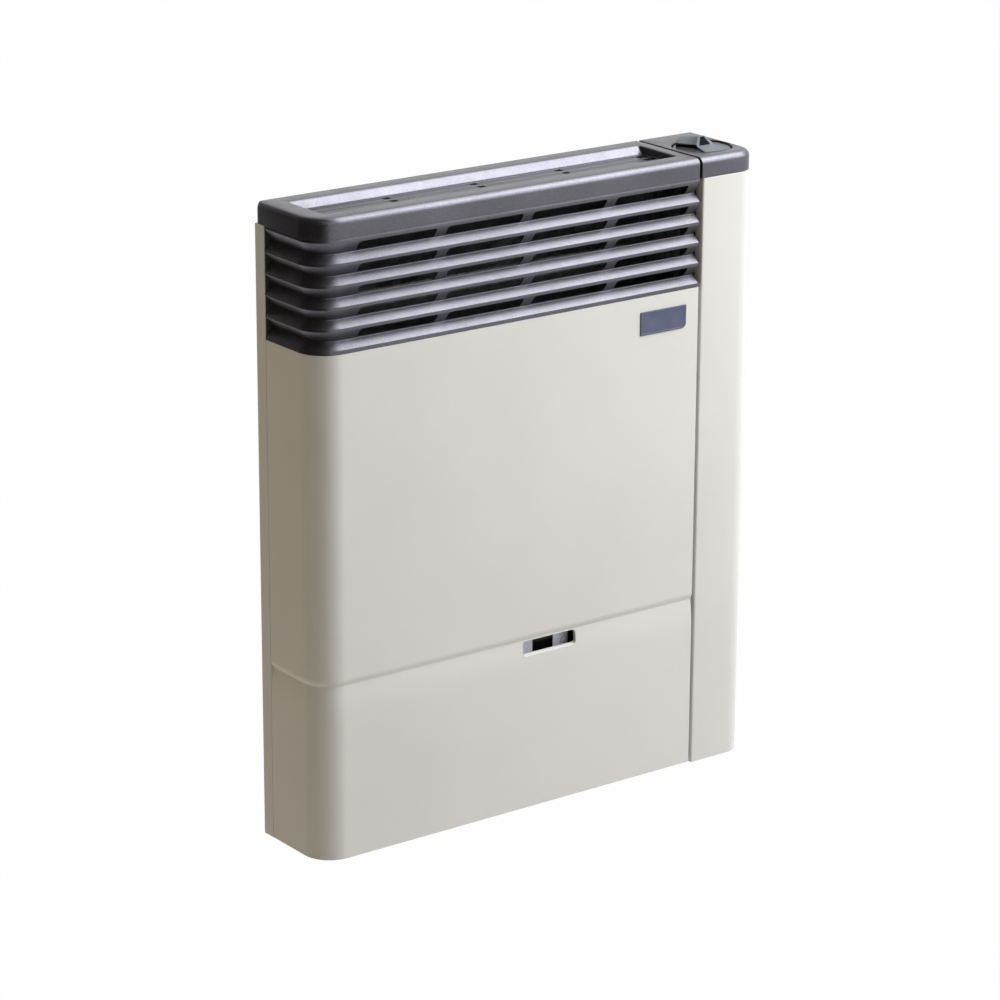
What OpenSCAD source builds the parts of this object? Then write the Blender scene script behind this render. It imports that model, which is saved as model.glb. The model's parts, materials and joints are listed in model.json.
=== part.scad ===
// Wall-mounted balanced-flue gas heater with a control column on the right.
// All pieces are drawn in the bench frame: X runs right from the left side of the case, Y is 0 on
// the wall and negative in the room, and Z runs up from the lower edge of the front cover.
// place() then moves the origin to the centre of the four wall-fixing holes.

/* [Case] */
// Overall width of the case
case_w = 595; // [580:1:640]
// Height from the lower edge of the front cover to the top of the caps
case_h = 715; // [705:1:760]
// Depth from the wall to the face of the front cover
case_d = 113; // [112:1:125]
// Sheet thickness of the covers
sheet_t = 1.2; // [0.8:0.1:1.5]
// Outside radius of the left front corner
left_r = 34; // [30:1:40]
// Outside radius of the right front corner
right_r = 25; // [20:1:28]
// Depth of the rear frame's side strip
frame_d = 17; // [14:1:20]
// Groove between that strip and the covers in front of it
side_gap = 0.8; // [0.5:0.1:1]
// Width of the flanges that stiffen the sheet pieces
flange_w = 15; // [12:1:18]

/* [Control column] */
// Width of the control column
column_w = 79; // [78:1:90]
// Gap between the front cover and the column
column_gap = 4; // [3:0.5:6]
// How far the column reaches below the front cover
column_drop = 2; // [0:0.5:4]
// Radius of the column's inner front edge
column_edge_r = 5; // [3:0.5:8]

/* [Front cover] */
// Height of the step under the upper panel
seam_z = 203; // [198:1:210]
// Depth of the step
seam_in = 4.5; // [4:0.5:8]
// Height of the step's undercut lip
seam_lip = 3; // [2:0.5:4]
// Height over which the lower panel comes back out to the front plane
seam_ramp = 36; // [36:1:50]
// Width of the viewing slot
slot_w = 73; // [66:1:80]
// Height of the viewing slot
slot_h = 17; // [14:1:20]
// Corner radius of the viewing slot
slot_r = 4; // [2:0.5:6]
// Drop of the slot's upper edge below the step
slot_drop = 4.5; // [4:0.5:8]
// Depth of the flange drawn in round the viewing slot
slot_flange = 4; // [2.5:0.5:5]

/* [Louvre grille] */
// Number of louvre rows
louvre_rows = 5; // [3:1:6]
// Distance from one louvre to the next
louvre_pitch = 23.3; // [22:0.1:26]
// Height of each bright sloping louvre face
louvre_slope_h = 7.9; // [6:0.1:9]
// How far each louvre is drawn in behind the front plane
louvre_in = 9.8; // [8:0.1:12]
// Height of the flat lip under each slope
louvre_lip = 3; // [2:0.1:4]
// Height of the band above the first louvre
louvre_band = 17.4; // [16:0.1:20]
// Height of the lip that meets the front cover
louvre_base = 4.5; // [3:0.1:6]
// Wall thickness of the grille
grille_t = 2; // [1.5:0.1:2.5]
// Height of an air slot
air_slot_h = 11; // [8:0.5:11]
// Air slots in each row
air_slots = 4; // [2:1:6]
// Width of the ribs between the air slots
air_rib_w = 14; // [10:1:18]
// Start of the first air slot, from the end of the left corner
air_slot_start = 23; // [15:1:30]
// Plain width of the grille right of the last air slot
air_slot_end = 13.5; // [10:0.5:20]

/* [Caps] */
// Height of the caps
cap_h = 23; // [20:1:26]
// Wall thickness of the caps
cap_t = 2.2; // [1.8:0.1:3]
// Radius of the caps' upper edge
cap_edge_r = 8; // [5:0.5:10]
// Gap between the two caps
cap_gap = 3.5; // [2:0.5:5]
// Radius of the cap's rear left corner
cap_rear_r = 7; // [4:0.5:9]
// Depth of the outlet recess in the top cap
well_deep = 9; // [6:0.5:12]
// Distance from the left side to the recess
well_left = 28; // [24:1:36]
// Width of the rim right of the recess
well_right = 13.5; // [10:0.5:20]
// Width of the rim behind the recess
well_back = 21; // [18:1:26]
// Width of the rim in front of the recess
well_front = 25; // [22:1:30]
// How far the recess's back wall slopes out towards its foot
well_slope = 6; // [0:0.5:8]
// Depth of the bars and ribs in the recess's floor
well_floor_t = 5; // [3:0.5:6]
// Rows of outlet slots in the recess
outlet_rows = 4; // [3:1:5]
// Width of the bars between the outlet slots
outlet_bar = 5; // [4:0.5:7]
// Distance between the ribs across the outlet slots
outlet_rib_pitch = 115; // [100:1:130]
// Radius of the screws that hold the caps
cap_screw_r = 1.5; // [1.25:0.25:2]

/* [Control knob] */
// Radius of the knob
knob_r = 33; // [28:0.5:33]
// Distance from the front plane to the knob's axis
knob_in = 49; // [47:0.5:51]
// Running gap between the knob and its recess
knob_gap = 1.2; // [0.8:0.1:1.5]
// Thickness of the knob's disc
knob_t = 10; // [8:0.5:10]
// How far the disc lies below the cap's top
knob_sink = 1.5; // [0:0.5:2]
// Height of the grip above the disc
grip_h = 13; // [8:0.5:15]
// Width of the grip at its waist
grip_w = 20; // [14:0.5:24]
// Width that the grip's sides reach at its rear end
grip_tail_w = 60; // [50:1:64]
// Width that the grip's sides reach at its front end
grip_nose_w = 38; // [30:1:46]
// Travel of the knob when it is pushed
push_travel = 5; // [3:0.5:6]
// Radius of the spindle
spindle_r = 4; // [3:0.5:5]
// Radial running clearance of the spindle
spindle_play = 0.05; // [0.02:0.01:0.1]

/* [Combustion chamber] */
// Distance from the left side of the case to the chamber
chamber_x = 50; // [45:1:60]
// Height of the chamber's lower edge
chamber_z = 70; // [60:1:75]
// Distance from the chamber to the front cover's right side
chamber_right_gap = 42; // [40:1:60]
// Distance from the chamber up to the louvre grille
chamber_top_gap = 19; // [14:1:40]
// Distance from the wall to the chamber's rear pan
chamber_back_y = 22; // [20:0.5:24]
// Depth of the rear pan
back_pan_d = 26; // [24:1:30]
// Depth of the front pan
front_pan_d = 42; // [40:1:43]
// Thickness of the gasket between the pans
gasket_t = 2; // [1.5:0.1:3]
// Corner radius of the pans
pan_r = 12; // [10:1:14]
// Width of the pans' bolting flange
pan_flange = 12; // [11:1:14]
// Sheet thickness of the pans
pan_t = 1.5; // [1.2:0.1:2]

/* [Ducts] */
// Outside radius of the exhaust and air ducts
duct_r = 30; // [25:1:35]
// Wall thickness of the ducts
duct_t = 1; // [0.8:0.1:1.5]
// How far the ducts reach into the wall
duct_out = 40; // [30:1:60]
// Distance from the chamber's top down to the exhaust duct's axis
exhaust_drop = 100; // [90:1:130]
// Distance from the chamber's bottom up to the air duct's axis
intake_rise = 80; // [70:1:90]

/* [Sight window] */
// Position of the window's centre across the case
window_x = 310; // [300:1:320]
// Height of the window's centre
window_z = 184; // [180:1:188]
// Width of the visible glass
window_w = 29; // [24:1:34]
// Width of the window frame
window_frame_w = 70; // [64:1:76]
// Height of the window frame
window_frame_h = 32; // [28:1:36]
// Thickness of the glass
glass_t = 3; // [2:0.5:4]

/* [Gas train] */
// Radius of the main burner's tube
burner_r = 15; // [12:0.5:16]
// Height of the burner's axis
burner_z = 125; // [122:1:130]
// Outside radius of the burner's supply pipe
burner_pipe_r = 4; // [3:0.5:5]
// Outside radius of the gas inlet pipe
inlet_pipe_r = 5; // [4:0.5:6]
// Outside radius of the pilot pipe
pilot_pipe_r = 2; // [1.5:0.25:2.5]
// Radius of the inlet union's thread
inlet_thread_r = 10.25; // [8:0.25:12]
// Length of the inlet union's thread
inlet_thread_l = 14; // [10:1:18]
// Distance between the pilot pieces
pilot_pitch = 15; // [13:1:18]
// Distance between the leads under the burner
lead_pitch = 8; // [7:0.5:9]

/* [Wall fixing] */
// Distance between the wall holes across the case
wall_hole_w = 500; // [460:1:510]
// Distance between the wall holes up the case
wall_hole_h = 580; // [540:1:600]
// Radius of the wall holes
wall_hole_r = 3.5; // [3:0.25:5]

/* [Hidden] */
$fn = 72;
eps = 0.01;
fit = 0.1;                                  // clearance of a screw or pipe in its hole
far = 1000;                                 // longer than any cut

// Heights
cap_z = case_h - cap_h;
frame_top = cap_z;
grille_tip_z = cap_z - louvre_band - (louvre_rows - 1) * louvre_pitch - louvre_slope_h;
grille_z = grille_tip_z - louvre_base;
cover_top = grille_z;
louvre_face_h = louvre_pitch - louvre_slope_h - louvre_lip;

// Places across the case
column_x = case_w - column_w;
cover_right = column_x - column_gap;
cap_overhang = 1.5;                         // of the column cap past the column's left side
column_cap_x = column_x - cap_overhang;
cap_right = column_cap_x - cap_gap;
partition_x = column_x + sheet_t;
knob_off = 1.5;                             // from the middle of the column cap
knob_x = (column_cap_x + case_w) / 2 - knob_off;
knob_y = -case_d + knob_in;
back_y = -sheet_t;                          // inner face of the rear frame's plate

// Chamber
chamber_w = cover_right - chamber_x - chamber_right_gap;
chamber_h = grille_z - chamber_z - chamber_top_gap;
exhaust_z = chamber_z + chamber_h - exhaust_drop;
intake_z = chamber_z + intake_rise;
chamber_cx = chamber_x + chamber_w / 2;
chamber_right = chamber_x + chamber_w;
joint_y = -chamber_back_y - back_pan_d;     // face of the rear pan's flange
front_joint_y = joint_y - gasket_t;
chamber_face_y = front_joint_y - front_pan_d;
bolt_r = 2.5;
bolt_head_r = 4;
bolt_head_h = 3;
bolt_off = pan_flange / 2;
bolt_cols = 4;
bolt_rows = 4;
bolt_x = [for (i = [0:bolt_cols - 1])
    chamber_x + pan_r + i * (chamber_w - 2 * pan_r) / (bolt_cols - 1)];
bolt_z = [for (i = [0:bolt_rows - 1])
    chamber_z + pan_r + i * (chamber_h - 2 * pan_r) / (bolt_rows - 1)];
bolt_places = concat(
    [for (x = bolt_x, z = [chamber_z - bolt_off, chamber_z + chamber_h + bolt_off]) [x, z]],
    [for (x = [chamber_x - bolt_off, chamber_right + bolt_off], z = bolt_z) [x, z]]);
bracket_h = 22;
bracket_l = 80;
bracket_t = 2;
bracket_inset = 50;
bracket_foot = 12;
bracket_z = [chamber_z + bracket_foot + 3, chamber_z + chamber_h - bracket_h - bracket_foot - 3];
rib_count = 5;
rib_h = 2.5;
rib_w = 14;
rib_inset = 50;
rib_bottom = 170;
rib_top = 40;
rib_z0 = chamber_z + rib_bottom;
rib_l = chamber_h - rib_bottom - rib_top;
seal_w = 10;
seal_t = 4;
duct_flange_w = 8;
duct_flange_t = 1.5;
duct_groove_y = 0.5;
duct_groove_w = 1.5;
duct_x = chamber_cx;
shield_z0 = intake_z + duct_r + duct_flange_w + 12;
shield_z1 = chamber_z + chamber_h - bracket_h - 2 * bracket_foot - 24;
shield_inset = 20;
shield_foot = 6;

// Sight window, stacked outwards from the chamber's face
window_gasket_t = 1;
gasket_face_y = chamber_face_y - window_gasket_t;
glass_face_y = gasket_face_y - glass_t;
window_face_y = glass_face_y - sheet_t;
glass_w = window_w + 14;
glass_h = window_frame_h - 8;
window_h = glass_h - 6;
window_screw_x = (glass_w + window_frame_w) / 4;
window_screw_r = 1.5;
window_frame_r = 3;
port_edge = 3;                              // how far the gasket's port is wider than the glass shown
slot_off = 1.5;                             // of the viewing slot to the left of the window
slot_x = window_x - slot_w / 2 - slot_off;
slot_z = seam_z - slot_drop - slot_h;

// Burner, pilot and leads
burner_y = chamber_face_y + 28;
burner_inset = 45;
burner_left = chamber_x + burner_inset;
burner_t = 1.2;
port_pitch = 12;
port_w = 2;
port_l = 16;
port_count = floor((chamber_right - pan_t - burner_inset - 15 - burner_left) / port_pitch);
holder_r = 8;
holder_flange_r = holder_r + 4;
holder_l = 22;
injector_l = 12;
pilot_y = burner_y - burner_r - 5;
pilot_r = 4.5;
probe_r = 2.5;
ceramic_r = 3.5;
pilot_plate_t = 2;
pilot_plate_in = 6;                         // plate in front of the pilot pieces' axes
spark_x = window_x - pilot_pitch + 1;
probe_x = spark_x + pilot_pitch;
pilot_x = probe_x + pilot_pitch;
pilot_plate_z = burner_z + 5;
lead_drop = 10;                             // of the probe and the electrode under their plate
pilot_drop = 8;
spark_run_z = burner_z - burner_r - 3 * lead_pitch + 2;
probe_run_z = spark_run_z + lead_pitch;
pilot_run_z = probe_run_z + lead_pitch;
lead_r = 1.25;
spark_lead_r = 2.5;
lead_places = [[spark_run_z, spark_lead_r], [probe_run_z, lead_r], [pilot_run_z, pilot_pipe_r]];
seal_block_t = 6;
seal_block_edge = 7;

// Valve and its ports, hung below the knob
igniter_r = 7;
igniter_gap = 1.55;                         // from the column's side
igniter_x = case_w - sheet_t - igniter_gap - igniter_r;
valve_w = 2 * (igniter_x - igniter_r - knob_x);
valve_d = 48;
valve_h = 50;
valve_boss_h = 14;
valve_boss_r = 14;
knob_top = case_h - knob_sink;
knob_bottom = knob_top - knob_t;
knob_well_z = knob_bottom - push_travel - 1;
hub_r = 9;
hub_l = 23;
hub_z = knob_bottom - hub_l;
collar_h = 4;
collar_r = 10;
neck_l = 34;                                // spindle between its shoulder and the hub
shoulder_z = hub_z - neck_l;
shoulder_h = 2.5;
spring_l = 18;
valve_top = shoulder_z - collar_h - spring_l;
valve_z = valve_top - valve_boss_h - valve_h;
valve_back = knob_y + 22;
valve_left = knob_x - valve_w / 2;
burner_port_x = knob_x - 13;
inlet_port_x = knob_x + 13;
pilot_port_x = valve_left + 5;
probe_port_x = pilot_port_x + 10;
igniter_z = valve_z - 12;
spindle_bore = 26;                          // depth of the spindle's bore in the valve
valve_plug_r = 16;
valve_plug_t = 6;
valve_screw_x = 14;
valve_screw_z = valve_z + valve_h / 2;
valve_screw_r = 2;
valve_screw_l = 10;
valve_bracket_w = 40;
valve_bracket_h = 40;
valve_bracket_t = 2;
valve_bracket_z = valve_z + (valve_h - valve_bracket_h) / 2;
valve_bracket_foot = 10;
igniter_l = 50;
igniter_stem_h = 8;
shelf_z = 30;
shelf_t = 2;
shelf_x = partition_x + sheet_t;
shelf_w = case_w - 2 * sheet_t - shelf_x - 1;
shelf_front = 20;                           // of the shelf in front of the union's axis
shelf_foot = 20;
union_hex_h = 14;
union_neck_r = inlet_thread_r - 1.5;
union_neck_l = 2;                           // neck between the shelf and the thread

// Knob, spindle and spring
spindle_z = valve_top - spindle_bore + push_travel + 2;
spindle_top = knob_bottom - 3;
spring_wire = 0.8;
spring_r = 7;
spring_turns = 5;
spring_sides = 6;
spring_steps = 12;
grip_r = knob_r - 4;                        // of the grip's round ends
grip_tail_h = 0.6 * grip_h;
grip_side_h = 4.5;                          // of the upright sides under the leaning flanks
grip_front = 1;                             // of the crest, behind the knob's axis
grip_waist = grip_front - grip_w / 3;
crest_w = 4;
crest_over = 1.5;                           // flanks run on above the crest, which cuts them flat
nose_h = 3;
knob_chamfer = 2;

// Covers and their fixings
side_run = case_d - left_r - frame_d - side_gap;
cover_screw_r = 2;
cover_screw_in = 9;                         // from the front plane
arm_t = 2;
arm_foot = 16;
arm_w = 30;
arm_left_x = left_r + 6;
arm_right_x = cover_right - 40;
deflector_out = 42;
deflector_h = 75;
deflector_foot = 19;
skirt_h = 8;
grille_end_d = 30;                          // depth of the grille's closed right end
air_slot_r = 3;
air_slot_x0 = left_r + air_slot_start;
air_slot_w = (cap_right - air_slot_end - air_slot_x0 - (air_slots - 1) * air_rib_w) / air_slots;
well_w = cap_right - well_left - well_right;
well_d = case_d - well_back - well_front;
outlet_w = (well_d - well_slope - (outlet_rows + 1) * outlet_bar) / outlet_rows;
cap_boss_r = cap_screw_r + 2.5;
cap_screw_l = 12;
cap_screw_head = 2;
top_screw_x = [60, chamber_cx, cap_right - 40];
column_screw_x = [column_cap_x + 18, case_w - 22];
badge_w = 65;
badge_h = 27;
badge_t = 1.2;
badge_right = 17.5;                         // from the cover's right side
badge_drop = 17;                            // from the cover's top
badge_x = cover_right - badge_right - badge_w;
badge_z = cover_top - badge_drop - badge_h;
badge_r = 6;

// ---------- helpers ----------

module place() translate([-case_w / 2, 0, -case_h / 2]) children();

// Sweeps a wall section round the left front corner. The section is drawn outwards from the
// corner's axis, so r is the outside skin.
module wrap_left(side_run, front_run, r = left_r) {
    translate([r, r - case_d, 0]) {
        rotate([0, 0, 180]) rotate_extrude(angle = 90) children();
        rotate([0, 0, 180]) rotate([90, 0, 0]) linear_extrude(side_run) children();
        rotate([0, 0, -90]) rotate([90, 0, 0])
            translate([0, 0, -front_run]) linear_extrude(front_run) children();
    }
}

// The same sweep round the right front corner
module wrap_right(side_run, front_run, r = right_r)
    translate([case_w, 0, 0]) mirror([1, 0, 0]) wrap_left(side_run, front_run, r) children();

module rounded_rect(w, h, r) {
    translate([r, 0]) square([w - 2 * r, h]);
    translate([0, r]) square([w, h - 2 * r]);
    for (x = [r, w - r], y = [r, h - r]) translate([x, y]) circle(r);
}

// Extrudes an outline drawn in X and Z towards the room, from y
module facing(y, t) translate([0, y, 0]) rotate([90, 0, 0]) linear_extrude(t) children();

// A round bar or hole along Y, centred on x and z, from y towards the room
module bar_y(x, y, z, r, l) translate([x, y, z]) rotate([90, 0, 0]) cylinder(r = r, h = l);

// Extrudes an outline along X. Its first axis points into the room and its second one up.
module along_x(l) rotate([0, 0, -90]) rotate([90, 0, 0])
    translate([0, 0, -l]) linear_extrude(l) children();

// A round bar along X
module bar_x(x, y, z, r, l) translate([x, y, z]) rotate([0, 90, 0]) cylinder(r = r, h = l);

// Pressed pan with its floor on z = 0 and its mouth and flange at the depth
module pan(depth) {
    difference() {
        union() {
            linear_extrude(depth) rounded_rect(chamber_w, chamber_h, pan_r);
            translate([-pan_flange, -pan_flange, depth - pan_t]) linear_extrude(pan_t)
                rounded_rect(chamber_w + 2 * pan_flange, chamber_h + 2 * pan_flange,
                             pan_r + pan_flange);
        }
        translate([pan_t, pan_t, pan_t]) linear_extrude(depth)
            rounded_rect(chamber_w - 2 * pan_t, chamber_h - 2 * pan_t, pan_r - pan_t);
    }
}

// Holes for the bolts round the chamber's flange
module bolt_holes(y, l) for (p = bolt_places) bar_y(p[0], y, p[1], bolt_r + fit, l);

// A pipe along legs that turn square corners, with each corner bent to the radius bend
function unit(v) = v / norm(v);
module along(a, b) {
    d = unit(b - a);
    side = abs(d[2]) > 0.5 ? [1, 0, 0] : [0, 0, 1];
    up = cross(d, side);
    multmatrix([[side[0], up[0], d[0], a[0]], [side[1], up[1], d[1], a[1]],
                [side[2], up[2], d[2], a[2]], [0, 0, 0, 1]])
        children();
}
module elbow(p, a, b, r, bend) {
    c = p - a * bend + b * bend;
    n = cross(a, b);
    multmatrix([[-b[0], a[0], n[0], c[0]], [-b[1], a[1], n[1], c[1]],
                [-b[2], a[2], n[2], c[2]], [0, 0, 0, 1]])
        rotate_extrude(angle = 90) translate([bend, 0]) circle(r);
}
module pipe_run(pts, r, bend) {
    last = len(pts) - 1;
    for (i = [0:last - 1]) {
        d = unit(pts[i + 1] - pts[i]);
        a = pts[i] + (i > 0 ? d * bend : [0, 0, 0]);
        b = pts[i + 1] - (i < last - 1 ? d * bend : [0, 0, 0]);
        along(a, b) cylinder(r = r, h = norm(b - a));
    }
    for (i = [1:last - 1])
        elbow(pts[i], unit(pts[i] - pts[i - 1]), unit(pts[i + 1] - pts[i]), r, bend);
}

// ---------- rear frame and chamber ----------

module rear_frame() color([0.74, 0.72, 0.66]) {
    difference() {
        facing(0, sheet_t) square([case_w - sheet_t, frame_top]);
        for (sx = [-1, 1], sz = [-1, 1])
            bar_y(case_w / 2 + sx * wall_hole_w / 2, far / 2, case_h / 2 + sz * wall_hole_h / 2,
                  wall_hole_r, far);
        for (z = [exhaust_z, intake_z]) bar_y(duct_x, far / 2, z, duct_r + fit, far);
    }
    // left strip, with the return that the front cover butts against
    translate([0, -frame_d, 0]) cube([sheet_t, frame_d - sheet_t, frame_top]);
    translate([sheet_t, -frame_d, 0]) cube([flange_w, sheet_t, frame_top]);
    // right strip, inside the column
    translate([case_w - 2 * sheet_t, -frame_d, 0]) cube([sheet_t, frame_d - sheet_t, frame_top]);
    // top flange, which carries the caps
    difference() {
        translate([sheet_t, -frame_d, frame_top - sheet_t])
            cube([case_w - 3 * sheet_t, frame_d - sheet_t, sheet_t]);
        cap_screw_holes(concat(top_screw_x, column_screw_x), cap_screw_r + fit);
    }
}

module rear_shield() color([0.72, 0.73, 0.75]) difference() {
    union() {
        translate([chamber_x + shield_inset, back_y - shield_foot, shield_z0])
            cube([chamber_w - 2 * shield_inset, sheet_t, shield_z1 - shield_z0]);
        for (z = [shield_z0, shield_z1 - sheet_t])
            translate([chamber_x + shield_inset, back_y - shield_foot, z])
                cube([chamber_w - 2 * shield_inset, shield_foot, sheet_t]);
    }
    bar_y(duct_x, 0, exhaust_z, duct_r + seal_w + 2, far);
}

bracket_section = [
    [0, -bracket_foot], [bracket_t, -bracket_foot], [bracket_t, 0],
    [chamber_back_y - sheet_t, 0], [chamber_back_y - sheet_t, bracket_h], [bracket_t, bracket_h],
    [bracket_t, bracket_h + bracket_foot], [0, bracket_h + bracket_foot], [0, bracket_h - bracket_t],
    [chamber_back_y - sheet_t - bracket_t, bracket_h - bracket_t],
    [chamber_back_y - sheet_t - bracket_t, bracket_t], [0, bracket_t]
];
module chamber_brackets() color([0.66, 0.67, 0.69])
    for (z = bracket_z, x = [chamber_x + bracket_inset, chamber_right - bracket_inset - bracket_l])
        translate([x, back_y, z]) along_x(bracket_l) polygon(bracket_section);

module chamber_back() color([0.24, 0.24, 0.25]) difference() {
    translate([chamber_x, -chamber_back_y, chamber_z]) rotate([90, 0, 0]) pan(back_pan_d);
    for (z = [exhaust_z, intake_z]) bar_y(duct_x, 0, z, duct_r - duct_t, far);
    bolt_holes(0, far);
}

module chamber_gasket() color([0.88, 0.86, 0.80]) difference() {
    facing(joint_y, gasket_t) translate([chamber_x - pan_flange, chamber_z - pan_flange])
        rounded_rect(chamber_w + 2 * pan_flange, chamber_h + 2 * pan_flange, pan_r + pan_flange);
    facing(0, far) translate([chamber_x, chamber_z]) rounded_rect(chamber_w, chamber_h, pan_r);
    bolt_holes(0, far);
}

module chamber_front() color([0.22, 0.22, 0.23]) {
    difference() {
        translate([chamber_x, chamber_face_y, chamber_z]) mirror([0, 1, 0]) rotate([90, 0, 0])
            pan(front_pan_d);
        facing(0, far) window_port();
        window_screw_holes();
        bar_x(chamber_right - 10, burner_y, burner_z, holder_r + fit, 20);
        for (h = lead_places) bar_x(chamber_right - 10, pilot_y, h[0], h[1] + fit, 20);
        bolt_holes(0, far);
    }
    // stiffening ribs pressed outwards
    for (i = [0:rib_count - 1])
        facing(chamber_face_y, rib_h)
            translate([chamber_x + rib_inset
                       + i * (chamber_w - 2 * rib_inset - rib_w) / (rib_count - 1), rib_z0])
                rounded_rect(rib_w, rib_l, rib_w / 2 - eps);
}

module chamber_bolts() color([0.70, 0.70, 0.70]) for (p = bolt_places) {
    bar_y(p[0], joint_y + pan_t + bolt_head_h, p[1], bolt_r,
          2 * pan_t + gasket_t + bolt_head_h);
    bar_y(p[0], front_joint_y - pan_t, p[1], bolt_head_r, bolt_head_h);
    bar_y(p[0], joint_y + pan_t + bolt_head_h, p[1], bolt_head_r, bolt_head_h);
}

// ---------- ducts ----------

// A duct with a groove outside the wall plane that parts the spigot from the inner stretch
module duct(z) difference() {
    union() {
        bar_y(duct_x, duct_groove_y, z, duct_r, duct_groove_y + chamber_back_y);
        bar_y(duct_x, duct_out, z, duct_r - duct_t / 2, duct_out);
        bar_y(duct_x, duct_out, z, duct_r, duct_out - duct_groove_y - duct_groove_w);
        bar_y(duct_x, -chamber_back_y + duct_flange_t, z, duct_r + duct_flange_w, duct_flange_t);
    }
    bar_y(duct_x, far / 2, z, duct_r - duct_t, far);
}
module exhaust_duct() color([0.62, 0.63, 0.65]) duct(exhaust_z);
module air_duct() color([0.70, 0.71, 0.73]) duct(intake_z);

module duct_seals() color([0.85, 0.83, 0.78]) for (z = [exhaust_z, intake_z]) difference() {
    bar_y(duct_x, back_y, z, duct_r + seal_w, seal_t);
    bar_y(duct_x, 0, z, duct_r, far);
}

// ---------- sight window ----------

module window_pane() translate([window_x - glass_w / 2, window_z - glass_h / 2])
    square([glass_w, glass_h]);
module window_port() translate([window_x - window_w / 2 - port_edge, window_z - window_h / 2])
    square([window_w + 2 * port_edge, window_h]);
module window_screw_holes() for (s = [-1, 1])
    bar_y(window_x + s * window_screw_x, 0, window_z, window_screw_r + fit, far);

module window_gasket() color([0.86, 0.84, 0.78])
    facing(chamber_face_y, window_gasket_t) difference() {
        window_pane();
        window_port();
    }

module window_glass() color([0.03, 0.03, 0.04])
    facing(gasket_face_y, glass_t) window_pane();

module window_frame() color([0.78, 0.79, 0.86]) difference() {
    facing(chamber_face_y, chamber_face_y - window_face_y)
        translate([window_x - window_frame_w / 2, window_z - window_frame_h / 2])
            rounded_rect(window_frame_w, window_frame_h, window_frame_r);
    facing(chamber_face_y + 1, chamber_face_y - glass_face_y + 1) window_pane();
    facing(0, far) translate([window_x - window_w / 2, window_z - window_h / 2])
        square([window_w, window_h]);
    window_screw_holes();
}

module window_screws() color([0.75, 0.75, 0.76]) for (s = [-1, 1]) {
    bar_y(window_x + s * window_screw_x, chamber_face_y + pan_t, window_z, window_screw_r,
          chamber_face_y + pan_t - window_face_y);
    bar_y(window_x + s * window_screw_x, window_face_y, window_z, window_screw_r + 1.3, 1.6);
}

// ---------- burner and pilot ----------

module burner_tube() color([0.60, 0.60, 0.60]) difference() {
    bar_x(burner_left, burner_y, burner_z, burner_r, chamber_right - pan_t - burner_left);
    bar_x(burner_left + 2, burner_y, burner_z, burner_r - burner_t, far);
    for (i = [0:port_count - 1])
        translate([burner_left + 15 + i * port_pitch, burner_y - port_l / 2, burner_z])
            cube([port_w, port_l, far]);
}

module burner_bracket() color([0.62, 0.62, 0.63]) difference() {
    union() {
        translate([burner_left + 20, burner_y - 14, chamber_z + pan_t])
            cube([2, 28, burner_z - chamber_z - pan_t - 4]);
        translate([burner_left + 20, burner_y - 14, chamber_z + pan_t]) cube([16, 28, 2]);
    }
    bar_x(burner_left, burner_y, burner_z, burner_r, 60);
}

module injector_holder() color([0.80, 0.66, 0.32]) {
    bar_x(chamber_right - 15, burner_y, burner_z, holder_r, 15 + holder_l);
    bar_x(chamber_right, burner_y, burner_z, holder_flange_r, 3);
}

module injector() color([0.86, 0.72, 0.36]) difference() {
    bar_x(chamber_right - 15 - injector_l, burner_y, burner_z, holder_r / 2, injector_l);
    bar_x(chamber_right - 28, burner_y, burner_z, 0.8, far);
}

module pilot_bracket() color([0.64, 0.64, 0.65]) difference() {
    union() {
        bar_x(window_x - 5, burner_y, burner_z, burner_r + 1.5, 10);
        translate([spark_x - 8, pilot_y - pilot_plate_in, pilot_plate_z])
            cube([2 * pilot_pitch + 16, burner_y - burner_r - pilot_y + pilot_plate_in + 2,
                  pilot_plate_t]);
    }
    bar_x(0, burner_y, burner_z, burner_r, far);
    translate([spark_x, pilot_y, 0]) cylinder(r = ceramic_r, h = far);
    translate([probe_x, pilot_y, 0]) cylinder(r = probe_r, h = far);
    translate([pilot_x, pilot_y, 0]) cylinder(r = pilot_r, h = far);
}

module pilot_burner() color([0.78, 0.70, 0.45])
    translate([pilot_x, pilot_y, pilot_plate_z - pilot_drop]) difference() {
        cylinder(r = pilot_r, h = 30);
        translate([0, 0, 26]) cylinder(r = pilot_r - 1.5, h = 10);
        translate([-10, -1.5, 24]) cube([10, 3, 10]);
    }

module thermocouple() color([0.75, 0.55, 0.40])
    translate([probe_x, pilot_y, pilot_plate_z - lead_drop]) {
    cylinder(r = probe_r, h = 28);
    translate([0, 0, 28]) cylinder(r1 = probe_r, r2 = probe_r / 2, h = 6);
}

module spark_electrode() color([0.93, 0.92, 0.90])
    translate([spark_x, pilot_y, pilot_plate_z - lead_drop]) {
    cylinder(r = ceramic_r, h = 26);
    translate([0, 0, 26]) cylinder(r = 1, h = 8);
}

// ---------- leads and pipes ----------

module lead_seal() color([0.80, 0.78, 0.72]) difference() {
    translate([chamber_right, pilot_y - seal_block_edge, spark_run_z - seal_block_edge])
        cube([seal_block_t, 2 * seal_block_edge, 2 * lead_pitch + 2 * seal_block_edge]);
    for (h = lead_places) bar_x(chamber_right - lead_drop, pilot_y, h[0], h[1], 3 * lead_drop);
}

module pilot_pipe() color([0.78, 0.48, 0.32]) pipe_run([
    [pilot_x, pilot_y, pilot_plate_z - pilot_drop], [pilot_x, pilot_y, pilot_run_z],
    [pilot_port_x, pilot_y, pilot_run_z], [pilot_port_x, pilot_y, valve_z]], pilot_pipe_r, 6);

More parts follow.
